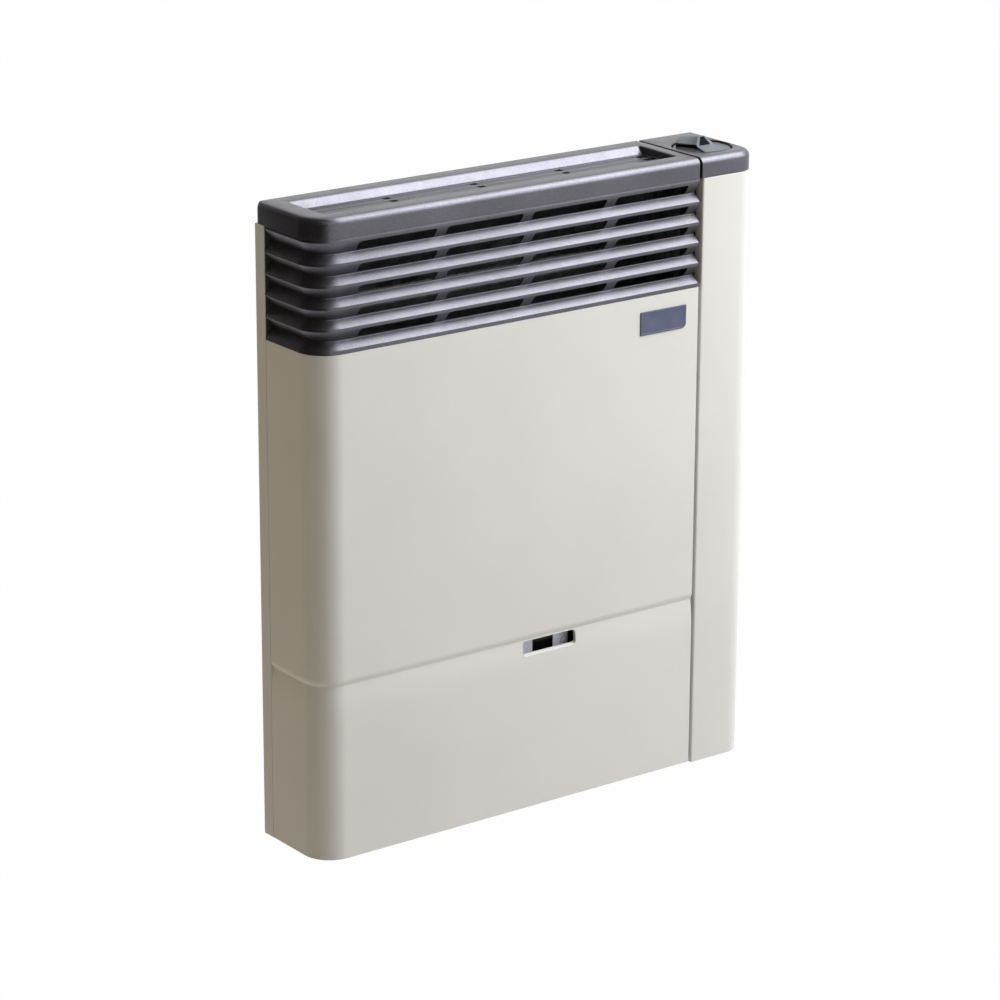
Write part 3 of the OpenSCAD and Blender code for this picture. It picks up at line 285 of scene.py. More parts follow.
def moulded(name, dark, light, rough, grain=0.00005, gloss=0.5):
    """Moulded plastic or rubber with a fine spark-eroded grain."""
    def sockets(b):
        drift = b.spread(b.noise(60.0, 3.0), 0.0, 1.0)
        erosion = b.noise(1500.0, 2.0)
        return {"Base Color": b.blend(drift, dark, light),
                "Roughness": b.spread(b.noise(90.0, 3.0), rough - 0.05, rough + 0.07),
                "Specular IOR Level": gloss, "Normal": b.bump(erosion, grain, 0.5)}
    return shaded(name, sockets)


def glazed_ceramic(name):
    """White insulator glaze with a faint crackle."""
    def sockets(b):
        crackle = b.spread(b.cells(220.0), 0.0, 1.0)
        return {"Base Color": b.blend(crackle, tint(238, 235, 226), tint(221, 217, 206)),
                "Roughness": 0.18, "Coat Weight": 0.4}
    return shaded(name, sockets)


def sight_glass(name):
    """Heat-proof glass in front of the dark chamber, with a faint soot bloom."""
    def sockets(b):
        soot = b.spread(b.noise(120.0, 4.0), 0.0, 1.0)
        return {"Base Color": b.blend(soot, tint(5, 5, 7), tint(14, 13, 13)),
                "Roughness": b.spread(b.noise(80.0, 3.0), 0.12, 0.22),
                "Specular IOR Level": 0.2}
    return shaded(name, sockets)


PAINT = tint(213, 212, 207)


def finishes():
    """The finish of every material slot."""
    steel = (0.56, 0.57, 0.59, 1.0)
    return {
        "painted_sheet": powder_coat("warm_white_powder_coat", PAINT),
        "graphite_paint": graphite_paint("graphite_flake_paint"),
        "black_enamel": black_enamel("fired_black_enamel"),
        "galvanised_sheet": galvanised("spangled_zinc_sheet", (0.52, 0.53, 0.55, 1.0)),
        "bright_frame": anodised("bright_window_frame", tint(226, 228, 240), tint(240, 242, 250)),
        "plated_steel": worked_metal("zinc_plated_steel", steel, 0.34),
        "spring_steel": worked_metal("drawn_spring_wire", steel, 0.24, 900.0),
        "cast_aluminium": worked_metal("cast_aluminium", (0.58, 0.59, 0.61, 1.0), 0.5, 420.0),
        "aluminium_pipe": worked_metal("drawn_aluminium_pipe", (0.68, 0.69, 0.71, 1.0), 0.28,
                                       500.0, (1.0, 1.0, 0.05)),
        "brass": worked_metal("turned_brass", tint(206, 170, 96), 0.26, 600.0),
        "copper": worked_metal("drawn_copper", tint(196, 122, 84), 0.28, 500.0),
        "white_ceramic": glazed_ceramic("glazed_ceramic"),
        "seal_fibre": seal_fibre("woven_seal_fibre"),
        "red_rubber": moulded("silicone_lead", tint(132, 24, 18), tint(164, 34, 26), 0.42),
        "sight_glass": sight_glass("sooted_sight_glass"),
        "badge_blue": moulded("blue_grey_badge", tint(70, 75, 99), tint(82, 87, 113), 0.34),
        "black_plastic": moulded("black_moulding", tint(14, 14, 16), tint(24, 24, 26), 0.72,
                                 gloss=0.06),
        "knob_plastic": moulded("grey_knob_moulding", tint(96, 102, 108), tint(109, 115, 121), 0.56,
                                0.00008, gloss=0.22),
    }


# ---------- mesh tools ----------

def rounded(points, radii, closed=True, steps=5):
    """A run of flat points with its corners rounded. A radius of 0 leaves the corner."""
    out, n = [], len(points)
    nearly_straight = math.pi / 2 - 0.01
    for i, point in enumerate(points):
        p = Vector(point)
        radius = radii[i] if isinstance(radii, (list, tuple)) else radii
        a, b = Vector(points[i - 1]) - p, Vector(points[(i + 1) % n]) - p
        half = a.angle(b) / 2
        if radius <= 0 or half > nearly_straight or (not closed and i in (0, n - 1)):
            out.append(p)
            continue
        reach = min(radius / math.tan(half), 0.49 * a.length, 0.49 * b.length)
        radius = reach * math.tan(half)
        middle = p + (a.normalized() + b.normalized()).normalized() * radius / math.sin(half)
        start, end = p + a.normalized() * reach - middle, p + b.normalized() * reach - middle
        turn = math.atan2(start.x * end.y - start.y * end.x, start.dot(end))
        for k in range(steps + 1):
            angle = turn * k / steps
            c, s = math.cos(angle), math.sin(angle)
            out.append(middle + Vector((start.x * c - start.y * s, start.x * s + start.y * c)))
    return out


def placed(name, mesh):
    """An object of a mesh, in the scene."""
    made = bpy.data.objects.new(name, mesh)
    bpy.context.scene.collection.objects.link(made)
    return made


def shade(made, smooth):
    """Smooth shading. Edges sharper than the smooth angle, in degrees, stay crisp."""
    made.data.shade_smooth()
    made.data.set_sharp_from_angle(angle=math.radians(smooth))


def piece(name, points, faces, body="case", smooth=35.0):
    """A mesh object that rides on a body."""
    mesh = bpy.data.meshes.new(name)
    mesh.from_pydata([tuple(p) for p in points], [], faces)
    work = bmesh.new()
    work.from_mesh(mesh)
    bmesh.ops.remove_doubles(work, verts=work.verts, dist=SAME_PLACE)
    bmesh.ops.recalc_face_normals(work, faces=work.faces)
    work.to_mesh(mesh)
    work.free()
    made = placed(name, mesh)
    shade(made, smooth)
    if body:
        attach(made, body)
    return made


def loop_faces(count, loops, close=True):
    """Quads between loops of points that follow each other in one list."""
    faces = []
    for i in range(loops - 1):
        for k in range(count if close else count - 1):
            a, b = i * count + k, i * count + (k + 1) % count
            faces.append((a, b, b + count, a + count))
    return faces


def end_faces(count, loops):
    """One face over the first of such loops, and one over the last."""
    return [tuple(range(count)), tuple(range((loops - 1) * count, loops * count))]


def lofted(loops):
    """Points and faces of a skin through closed loops of equal count, open at both ends."""
    return [p for loop in loops for p in loop], loop_faces(len(loops[0]), len(loops))


def capped(loops):
    """The same, closed at both ends."""
    points, faces = lofted(loops)
    return points, faces + end_faces(len(loops[0]), len(loops))


def sweep(section, stations):
    """A closed section carried along stations of place and outward way.
    A section point is how far out of the skin it lies, and its height."""
    return capped([[spot(x + out_x * p[0], y + out_y * p[0], p[1]) for p in section]
                   for (x, y), (out_x, out_y) in stations])


def bend(x, y, radius, start, steps):
    """Stations of a quarter turn about a middle, from the angle at which it starts."""
    stations = []
    for k in range(steps + 1):
        a = start + math.pi / 2 * k / steps
        way = (math.cos(a), math.sin(a))
        stations.append(((x + radius * way[0], y + radius * way[1]), way))
    return stations


def left_path(back, right):
    """From the wall side at back, round the left front corner, to right along the front."""
    return ([((0.0, back), (-1.0, 0.0))] + bend(LEFT_R, LEFT_R - CASE_D, LEFT_R, math.pi, 20)
            + [((right, -CASE_D), (0.0, -1.0))])


def column_path():
    """From the column's left return, round its two front edges, to the wall."""
    edge = COLUMN_EDGE_R
    return ([((COLUMN_X, -CASE_D + edge + 10.0), (-1.0, 0.0))]
            + bend(COLUMN_X + edge, edge - CASE_D, edge, math.pi, 8)
            + bend(CASE_W - RIGHT_R, RIGHT_R - CASE_D, RIGHT_R, -math.pi / 2, 16)
            + [((CASE_W, 0.0), (1.0, 0.0))])


def join(*parts):
    """Several sets of points and faces as one."""
    points, faces = [], []
    for new_points, new_faces in parts:
        faces += [tuple(i + len(points) for i in f) for f in new_faces]
        points += list(new_points)
    return points, faces


def block(x0, y0, z0, x1, y1, z1):
    """A plain bar between two corners, to be joined into a larger piece."""
    foot = ((x0, y0), (x1, y0), (x1, y1), (x0, y1))
    return capped([[spot(x, y, z) for x, y in foot] for z in (z0, z1)])


def bar_through(outline, y0, y1):
    """An outline in width and height, carried straight from y0 to y1."""
    return capped([[spot(p[0], y, p[1]) for p in outline] for y in (y0, y1)])


def bar_across(outline, x0, x1):
    """An outline in height and how far out of the front it lies, carried from x0 to x1."""
    return capped([[spot(x, -CASE_D - p[0], p[1]) for p in outline] for x in (x0, x1)])


def ring(x, y, z, radius, count):
    """A level ring of points about an upright axis."""
    turns = [2 * math.pi * k / count for k in range(count)]
    return [spot(x + radius * math.cos(a), y + radius * math.sin(a), z) for a in turns]


def slot_outline(x, z, w, h, r, steps=4):
    """A slot with rounded corners, from its lower left corner."""
    return rounded([(x, z), (x + w, z), (x + w, z + h), (x, z + h)], r, True, steps)


def cut(made, points, faces):
    """Cuts closed forms out of a piece."""
    knife = piece("knife", points, faces, body=None)
    modifier = made.modifiers.new("cut", "BOOLEAN")
    modifier.operation, modifier.object, modifier.solver = "DIFFERENCE", knife, "EXACT"
    modifier.use_self = True
    settle(made)
    bpy.data.objects.remove(knife)


def settle(made):
    """Works a piece's modifiers into its mesh."""
    graph = bpy.context.evaluated_depsgraph_get()
    mesh = bpy.data.meshes.new_from_object(made.evaluated_get(graph))
    made.modifiers.clear()
    made.data = mesh


def soften(made, width):
    """Rounds a piece's edges that are sharper than 50 degrees."""
    modifier = made.modifiers.new("edges", "BEVEL")
    modifier.width, modifier.segments = width * MM, 3
    modifier.limit_method, modifier.angle_limit = "ANGLE", math.radians(50.0)
    modifier.harden_normals = False
    settle(made)
    shade(made, 32.0)


def wear(made, slot, coats):
    """Gives a piece the finish of the slot that it stands for."""
    made.data.materials.clear()
    made.data.materials.append(coats[slot])


# ---------- the covers ----------

STEP_IN, STEP_LOW, STEP_HIGH, STEP_Z = 2.6, 164, 200, 205.5
RETURN_D = 15.0  # how deep a folded edge reaches behind the front
SLOT_X, SLOT_Z, SLOT_W, SLOT_H, SLOT_R = 272.0, 181.5, 73.0, 17.0, 4.0


def step_in(z):
    """How far the lower panel's skin lies out of the front plane at a height (never outside it)."""
    return -STEP_IN * (max(0.0, z - STEP_LOW) / (STEP_HIGH - STEP_LOW)) ** 2


def wall_of(skin, thickness):
    """A closed section from a skin line, with its inner side one thickness in."""
    return list(skin) + [Vector((p[0] - thickness, p[1])) for p in reversed(skin)]


def front_cover(coats):
    """The front cover: a plain upper panel, the undercut step and the lower panel with its slot."""
    eased = [(step_in(z), z) for z in range(STEP_LOW, STEP_HIGH, 2)]
    skin = rounded([(0, 0)] + eased + [(-STEP_IN, STEP_HIGH), (0, STEP_Z), (0, COVER_TOP)],
                   [0] * (len(eased) + 1) + [3.0, 14.0, 0], closed=False, steps=8)
    worn = 0.5  # the sheet's cut edges are not quite sharp
    skin = [Vector((-worn, 0)), Vector((0, worn))] + skin[1:-1] + [
        Vector((0, COVER_TOP - worn)), Vector((-worn, COVER_TOP))]
    path = left_path(COVER_BACK, COVER_RIGHT)
    shell = sweep(wall_of(skin, SHEET), path)
    fold = skin + [Vector((-RETURN_D, COVER_TOP)), Vector((-RETURN_D, 0))]
    right = bar_across(fold, COVER_RIGHT - SHEET, COVER_RIGHT)
    left = block(SHEET / 2, -STRIP_D - SHEET, SHEET, SHEET + RETURN_D, -STRIP_D, COVER_TOP)
    lower = sweep([(-RETURN_D, 0), (-SHEET / 2, 0), (-SHEET / 2, SHEET), (-RETURN_D, SHEET)], path)
    made = piece("front_cover_shell", *join(shell, right, left, lower))
    outline = slot_outline(SLOT_X, SLOT_Z, SLOT_W, SLOT_H, SLOT_R, 6)
    cut(made, *bar_through(outline, -CASE_D - 10, -CASE_D + 14))
    shade(made, 40.0)
    wear(made, "painted_sheet", coats)
    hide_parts("front_cover")


def slot_lip(coats):
    """The flange drawn in round the viewing slot. Its lower side leans up to catch the light.
    Each row is how far outside the slot it runs, how deep, and how far its lower side rises."""
    loops = []
    for grow, deep, rise in ((1.3, 0.05, 0.0), (0.8, -0.25, 0.0), (0.35, -0.2, 0.1),
                             (0.08, 0.2, 0.3), (0.0, 0.8, 0.5), (0.0, 3.6, 1.9), (0.3, 4.0, 1.6),
                             (0.9, 4.0, 1.0), (1.1, 3.6, 0.6)):
        outline = slot_outline(SLOT_X - grow, SLOT_Z - grow + rise, SLOT_W + 2 * grow,
                               SLOT_H + 2 * grow - rise, SLOT_R + grow, 6)
        loops.append([spot(p[0], deep - CASE_D - step_in(p[1]), p[1]) for p in outline])
    made = piece("viewing_slot_lip", *lofted(loops))
    wear(made, "painted_sheet", coats)


def column_cover(coats):
    """The control column's cover, plain, with a small radius on its inner edge."""
    low, high, worn = -COLUMN_DROP, COLUMN_TOP, 0.4
    section = [(-worn, low), (0, low + worn), (0, high - worn), (-worn, high), (-SHEET, high),
               (-SHEET, low)]
    made = piece("column_cover_shell", *sweep(section, column_path()))
    wear(made, "painted_sheet", coats)
    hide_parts("column_cover")


# ---------- the louvre grille ----------

LOUVRES, PITCH, BAND = 5, 23.3, 17.4
SLOPE_H, LOUVRE_IN, LIP_H, LOW_LIP_H = 7.9, 9.8, 3.0, 4.5
WALL = 2.0  # the moulding's thickness
AIR_SLOTS, RIB, AIR_SLOT_H = 4, 14.0, 11.0


def crease(k):
    """The height at which louvre k, counted from the top, lies deepest."""
    return CAP_Z - BAND - (k - 1) * PITCH


def louvre_grille(coats):
    """Five louvres: a bright slope, a flat lip and a slotted face that leans back."""
    line, radii = [(-0.8, CAP_Z), (0.0, CAP_Z - LIP_H)], [0, 2.6]
    for k in range(1, LOUVRES + 1):
        lip, lip_r = (LIP_H, 1.1) if k < LOUVRES else (LOW_LIP_H, 0)
        edge = crease(k) - SLOPE_H
        line += [(-LOUVRE_IN, crease(k)), (0.0, edge), (0.0, edge - lip)]
        radii += [0.8, 1.1, lip_r]
    skin = rounded(line, radii, closed=False, steps=4)
    shell = sweep(wall_of(skin, WALL), left_path(COVER_BACK, CAP_RIGHT))
    foot = crease(LOUVRES) - SLOPE_H - LOW_LIP_H
    skirt = sweep([(-3.2, foot - 8), (-1.2, foot - 8), (-1.2, foot + 2), (-3.2, foot + 2)],
                  left_path(COVER_BACK - 2.4, COVER_RIGHT - 2.4))
    end = bar_across(list(skin) + [Vector((-30, foot)), Vector((-30, CAP_Z))],
                     CAP_RIGHT - WALL, CAP_RIGHT)
    made = piece("louvre_grille_shell", *join(shell, skirt, end))
    first = LEFT_R + 23.0
    width = (CAP_RIGHT - RIGHT_MARGIN - first - (AIR_SLOTS - 1) * RIB) / AIR_SLOTS
    slots = [bar_through(slot_outline(first + i * (width + RIB), crease(k) + 0.5, width,
                                      AIR_SLOT_H, 3.0), -CASE_D - 4, -CASE_D + 16)
             for k in range(1, LOUVRES + 1) for i in range(AIR_SLOTS)]
    cut(made, *join(*slots))
    shade(made, 35.0)
    wear(made, "graphite_paint", coats)
    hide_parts("louvre_grille")


# ---------- the caps ----------

def cap_outline(x0, x1, radii, inset, joint, steps):
    """The cap's outline, drawn in on its outer side and its front, and a little elsewhere.
    Corners: rear left, front left, front right, rear right. The joint is the left or right side."""
    slight = 0.8 * (inset / CAP_EDGE) ** 3
    left, right = (slight, inset) if joint == "left" else (inset, slight)
    corners = [(x0 + left, -slight), (x0 + left, -CASE_D + inset),
               (x1 - right, -CASE_D + inset), (x1 - right, -slight)]
    return rounded(corners, [max(0.2, r - inset) for r in radii], True, steps)


def cap_skin(x0, x1, radii, joint, hole):
    """The skin of a cap: sides, rounded upper edge and a flat top round the loops of a hole."""
    profile = [(2.2, CAP_Z), (0.3, CAP_Z), (0.0, CAP_Z + 0.3)]
    for k in range(10):
        a = math.pi / 2 * k / 9
        profile.append((CAP_EDGE * (1 - math.cos(a)), CASE_H - CAP_EDGE + CAP_EDGE * math.sin(a)))
    side = [[spot(p[0], p[1], z) for p in cap_outline(x0, x1, radii, inset, joint, 10)]
            for inset, z in profile]
    work = bmesh.new()
    rims = []
    for loops in (side, hole):
        rings = [[work.verts.new(p) for p in loop] for loop in loops]
        count = len(rings[0])
        for low, high in zip(rings, rings[1:]):
            for k in range(count):
                work.faces.new((low[k], low[(k + 1) % count], high[(k + 1) % count], high[k]))
        rims.append(rings[-1] if loops is side else rings[0])
    edges = []
    for rim in rims:
        for pair in zip(rim, rim[1:] + rim[:1]):
            edges.append(work.edges.get(pair) or work.edges.new(pair))
    bmesh.ops.triangle_fill(work, edges=edges, use_beauty=True)
    return work


def finish_cap(name, work, node, coats):
    """Makes a cap of its skin, in place of a node of the CAD."""
    bmesh.ops.recalc_face_normals(work, faces=work.faces)
    mesh = bpy.data.meshes.new(name)
    work.to_mesh(mesh)
    work.free()
    made = placed(name, mesh)
    shade(made, 40.0)
    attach(made, "case")
    wear(made, "graphite_paint", coats)
    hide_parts(node)


OUTLET_X0, OUTLET_X1 = 28.0, CAP_RIGHT - RIGHT_MARGIN
OUTLET_Y0, OUTLET_Y1 = -CASE_D + 25.0, -21.0
OUTLET_FLOOR, BACK_LEAN = CASE_H - 9.0, 6.0
BAR_W, BAR_H, SLOT_ROWS, RIB_PITCH = 5.0, 5.0, 4, 115.0


def top_cap(coats):
    """The top cap with its outlet recess, whose rear side leans forward on its way down."""
    x0, x1, y0, y1, floor = OUTLET_X0, OUTLET_X1, OUTLET_Y0, OUTLET_Y1, OUTLET_FLOOR
    well = []
    for grow, z in ((1.8, CASE_H), (1.1, CASE_H - 0.15), (0.5, CASE_H - 0.55),
                    (0.12, CASE_H - 1.2), (0.0, CASE_H - 1.9), (0.0, floor + 0.8),
                    (-0.3, floor + 0.25), (-0.9, floor)):
        back = y1 + grow - BACK_LEAN * (CASE_H - z) / (CASE_H - floor)
        corners = [(x0 - grow, back), (x0 - grow, y0 - grow), (x1 + grow, y0 - grow),
                   (x1 + grow, back)]
        well.append([spot(p[0], p[1], z) for p in rounded(corners, 3.0 + grow, True, 6)])
    work = cap_skin(0.0, CAP_RIGHT, (7.0, LEFT_R, CRISP_R, CRISP_R), "right", well)
    finish_cap("top_cap_shell", work, "top_cap", coats)


def outlet_plate(coats):
    """The recess's floor: long bars, a slat sunk between each two, and ribs underneath."""
    x0, x1, y0, floor = OUTLET_X0, OUTLET_X1, OUTLET_Y0, OUTLET_FLOOR
    y1, foot = OUTLET_Y1 - BACK_LEAN, floor - BAR_H
    wide = (y1 - y0 - (SLOT_ROWS + 1) * BAR_W) / SLOT_ROWS
    tuck = 1.0  # how far the ends and the outer bars run under the cap
    parts = []
    for i in range(SLOT_ROWS + 1):
        y = y0 + i * (wide + BAR_W)
        front, rear = tuck if i == 0 else 0, tuck if i == SLOT_ROWS else 0
        parts.append(block(x0 - tuck, y - front, foot, x1 + tuck, y + BAR_W + rear, floor))
    x = x0
    while x < x1:
        parts.append(block(x - BAR_W / 2, y0 - tuck, foot - 4.0, x + BAR_W / 2, y1 + tuck,
                           foot + 0.5))
        end = min(x + RIB_PITCH, x1)
        for i in range(SLOT_ROWS):
            y = y0 + BAR_W + i * (wide + BAR_W)
            parts.append(block(x + 4.5, y + 1.5, floor - 1.6, end - 4.5, y + wide + 0.3,
                               floor - 0.5))
        x += RIB_PITCH
    made = piece("outlet_plate", *join(*parts))
    soften(made, 0.7)
    wear(made, "graphite_paint", coats)


def column_cap(coats):
    """The cap over the column, with the round recess that the knob sits in."""
    radius, stem, floor = 34.2, 9.8, 697.5
    well = [ring(KNOB_X, KNOB_Y, z, r, 72) for r, z in (
        (radius + 1.4, CASE_H), (radius + 0.8, CASE_H - 0.12), (radius + 0.3, CASE_H - 0.5),
        (radius, CASE_H - 1.3), (radius, floor + 0.6), (radius - 0.6, floor), (stem, floor),
        (stem, floor - 2.2))]
    radii = (CRISP_R, CRISP_R, RIGHT_R, CRISP_R)
    work = cap_skin(COLUMN_CAP_X, CASE_W, radii, "left", well)
    finish_cap("column_cap_shell", work, "column_cap", coats)


# ---------- the knob ----------

GRIP_H, GRIP_TAIL_H, GRIP_SIDE_H, NOSE_H, GRIP_R = 13.0, 7.8, 4.5, 3.0, 29.0
WAIST, CREST_FRONT, KNOB_R = -5.67, 1.0, 33.0
WAIST_HALF, FRONT_FLARE, REAR_FLARE = 10.0, 0.294, 0.504
KNOB_TOP, KNOB_FOOT = CASE_H - 1.5, CASE_H - 11.5
GRIP_INSET = -1.1  # where the grip's top begins, inside its outline


def ease(t):
    """From 0 to 1 without a kink at either end."""
    t = max(0.0, min(1.0, t))
    return t * t * (3 - 2 * t)


def lesser(a, b, soft):
    """The lesser of two heights, with the crease between them rounded."""
    h = max(0.0, min(1.0, 0.5 + 0.5 * (b - a) / soft))
    return b + (a - b) * h - soft * h * (1 - h)


def grip_half(v):
    """Half the grip's width, v behind the knob's axis: it widens both ways from its waist."""
    front = WAIST_HALF + FRONT_FLARE * (CREST_FRONT - v) - 1.0
    rear = WAIST_HALF + REAR_FLARE * (v - WAIST + 1.0)
    return -lesser(-front, -rear, 3.0)


def grip_height(u, v):
    """The grip's height over the disc: a high fan behind, a leaning face, a low fan in front."""
    crest = GRIP_H - (GRIP_H - GRIP_TAIL_H) * (v - CREST_FRONT) / (KNOB_R - CREST_FRONT)
    half = grip_half(v)
    flank = GRIP_SIDE_H + (crest + 1.5 - GRIP_SIDE_H) * (half - abs(u)) / (half - 2.0)
    lean = NOSE_H + (GRIP_H - NOSE_H) * (v - WAIST) / (CREST_FRONT - WAIST)
    nose = NOSE_H - 0.055 * (WAIST - v) - 0.4 * (u / 14.0) ** 2
    return -lesser(-lesser(lesser(crest, flank, 1.6), lean, 1.2), -nose, 1.6)


def grip_station(v, out):
    """A place on the grip's outline, and its half width there, with the outline moved out."""
    v = v * (GRIP_R + out) / GRIP_R
    return v, min(grip_half(v) + out, math.sqrt(max(0.0, (GRIP_R + out) ** 2 - v * v)))


def grip_stations():
    """The places of the grip's slices, from front to back, closer where it bends."""
    tip = [28.98, 28.9, 28.7, 28.3, 27.7, 26.8, 25.5]
    middle = [-24.0 + 1.5 * k for k in range(11)] + [-8.0 + 0.45 * k for k in range(25)] + [
        3.5 + 1.6 * k for k in range(14)]
    return [-v for v in tip] + middle + tip[::-1]


def on_knob(u, v, z):
    """A point u to the right of the knob's axis, v behind it and z over the disc."""
    return spot(KNOB_X + u, KNOB_Y + v, KNOB_TOP + z)


def knob_disc(coats):
    """A shallow dished disc and the hub under it. Each row is a radius and a height."""
    sides, top, foot = 96, KNOB_TOP, KNOB_FOOT
    profile = ((0.5, top), (12.0, top), (20.0, top - 0.3), (26.0, top - 0.35),
               (30.4, top - 0.05), (31.1, top - 0.1), (31.9, top - 0.4), (32.6, top - 1.0),
               (32.95, top - 1.7), (KNOB_R, top - 2.4), (KNOB_R, foot + 0.6), (32.4, foot),
               (9.0, foot), (9.0, foot - 23.0), (8.4, foot - 23.6))
    made = piece("knob_disc", *capped([ring(KNOB_X, KNOB_Y, z, r, sides) for r, z in profile]),
                 body="knob", smooth=50.0)
    wear(made, "graphite_paint", coats)


def knob_grip(coats):
    """The bow-tie grip, as slices from front to back, each from its left foot over the top to
    its right. A row of edge is how far out of the outline it lies and its height, over the disc
    where the share is 0 and over the top's rim where it is 1."""
    edge = ((0.9, -0.7, 0.0), (0.35, 0.12, 0.0), (0.1, 0.45, 0.0), (0.0, 0.9, 0.0),
            (0.0, -1.1, 1.0), (-0.08, -0.7, 1.0), (-0.3, -0.32, 1.0), (-0.65, -0.08, 1.0))
    columns, low_rim = 34, 2.4
    rows = []
    for station in grip_stations():
        v, half = grip_station(station, GRIP_INSET)
        rim = grip_height(half, v)
        side = []
        for out, z, share in edge:
            far, wide = grip_station(station, out)
            side.append((wide, far, z * min(1.0, rim / low_rim) + rim * share))
        across = [half * (2 * k / columns - 1) for k in range(columns + 1)]
        row = [(-wide, far, z) for wide, far, z in side]
        row += [(u, v, grip_height(u, v)) for u in across] + side[::-1]
        rows.append([on_knob(*place) for place in row])
    count = len(rows[0])
    faces = loop_faces(count, len(rows), close=False) + end_faces(count, len(rows))
    made = piece("knob_grip", [p for row in rows for p in row], faces, body="knob", smooth=50.0)
    wear(made, "knob_plastic", coats)
    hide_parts("control_knob")


def grip_flank_shade_band(coats):
    """The dark band let into the grip's flank, all the way round: painted shade on the flank's side
    walls.
    """
    round_it = [(1, v) for v in grip_stations()] + [(-1, v) for v in reversed(grip_stations())]
    loops = []
    for out, z, share in ((-0.7, 0.35, 0.0), (0.14, 0.35, 0.0), (0.2, 0.45, 0.0), (0.2, -1.3, 1.0),
                          (0.14, -1.2, 1.0), (-0.7, -1.2, 1.0), (-0.7, 0.35, 0.0)):
        loop = []
        for side, station in round_it:
            inner, half = grip_station(station, GRIP_INSET)
            rim = grip_height(half, inner)
            v, half = grip_station(station, out)
            loop.append(on_knob(side * half, v, z + share * rim))
        loops.append(loop)
    made = piece("grip_flank_shade_band", *lofted(loops), body="knob")
    # painted shade: the black band over the flank darkens the grip's steep side walls, standing for
    # their shade
    wear(made, "black_plastic", coats)


def leaning_face_shade_inlay(coats):
    """The dark inlay in the grip's leaning face, painted shade standing for that face's shadow: a
    thin skin whose rim dips into it.
    """
    front, length, wide, narrower = -5.9, 6.7, 8.8, 5.6
    rows = columns = 12
    points = []
    for i in range(rows + 1):
        v = front + length * i / rows
        half = wide - narrower * ease(i / rows)
        for k in range(columns + 1):
            u = half * (2 * k / columns - 1)
            over = -0.5 if i in (0, rows) or k in (0, columns) else 0.25
            points.append(on_knob(u, v, grip_height(u, v) + over))
    faces = loop_faces(columns + 1, rows + 1, close=False)
    made = piece("leaning_face_shade_inlay", points, faces, body="knob")
    # painted shade: the black skin stands for the shadow on the grip's leaning face
    wear(made, "black_plastic", coats)


def return_spring(coats):
    """The spring under the push collar, its end turns closed."""
    low, high = (Vector(corner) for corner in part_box("return_spring"))
    wire, turns, steps, sides = 0.8, 5, 28, 10
    middle, radius = (low + high) / 2, (high.x - low.x) / 2 - wire * MM
    length = (high.z - low.z) / MM
    closed = 2 * wire + 0.1
    open_rise = (length - 2 * wire - 2 * closed) / (turns - 2)
    loops = []
    for i in range(turns * steps + 1):
        turn = i / steps
        in_closed = min(turn, 1.0) + max(turn - turns + 1, 0.0)
        in_open = min(max(turn - 1.0, 0.0), turns - 2)
        rise = in_closed * closed + open_rise * in_open
        a = 2 * math.pi * turn
        loop = []
        for k in range(sides):
            b = 2 * math.pi * k / sides
            r = radius + wire * MM * math.cos(b)
            loop.append((middle.x + r * math.cos(a), middle.y + r * math.sin(a),
                         low.z + (wire + rise + wire * math.sin(b)) * MM))
        loops.append(loop)
    made = piece("coiled_return_spring", *capped(loops))
    wear(made, "spring_steel", coats)
    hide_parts("return_spring")
    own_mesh(made)


def badge_plate(coats):
    """A bare badge plate with a soft rim and one rounded corner. Each row is how far outside its
    edge and how far in front of the cover the rim runs."""
    x, z, w, h = 429.5, 525.0, 65.0, 27.0
    loops = []
    for grow, out in ((0.0, 0.0), (0.0, 0.7), (-0.25, 1.05), (-0.6, 1.2), (-1.6, 1.2),
                      (-1.9, 0.95), (-2.3, 0.9)):
        corners = [(x - grow, z - grow), (x + w + grow, z - grow), (x + w + grow, z + h + grow),
                   (x - grow, z + h + grow)]
        outline = rounded(corners, [1.2, 6.0 + grow, 1.2, 1.2], True, 6)
        loops.append([spot(p[0], -CASE_D - out, p[1]) for p in outline])
    made = piece("bare_badge", *capped(loops))
    wear(made, "badge_blue", coats)
    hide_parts("badge_plate")


# ---------- light, floor and camera ----------

WHITE = (1.0, 1.0, 1.0, 1.0)
FLOOR_Z, FLOOR_REACH = -1.05, 30
LAMPS = (  # name, place, aimed at, width and height in metres, watts, colour, seen in gloss
    ("window_light", (1.15, -1.0, 1.32), (0.1, -0.1, 0.15), (1.45, 1.45), 29.0,
     (0.93, 0.957, 1.0), True),
    ("front_fill", (0.95, -1.35, 0.3), (0.1, -0.1, 0.0), (0.9, 0.9), 5.0,
     (0.91, 0.95, 1.0), False),
    ("overhead_softbox", (0.95, -0.32, 1.75), (0.0, -0.1, 0.3), (1.6, 1.3), 27.0,
     (0.97, 0.98, 1.0), True),
    ("wall_bounce", (-1.3, 0.8, 0.3), (-0.3, -0.05, 0.0), (0.8, 1.2), 1.3,
     (1.0, 0.86, 0.66), False),
)


def seen_directly(board):
    """1 for what the camera sees, straight or in gloss or through glass, and 0 for soft light."""
    camera = board.node("ShaderNodeLightPath", out="Is Camera Ray")
    return camera.at_least(camera.beside("Is Glossy Ray")).at_least(
        camera.beside("Is Transmission Ray"))


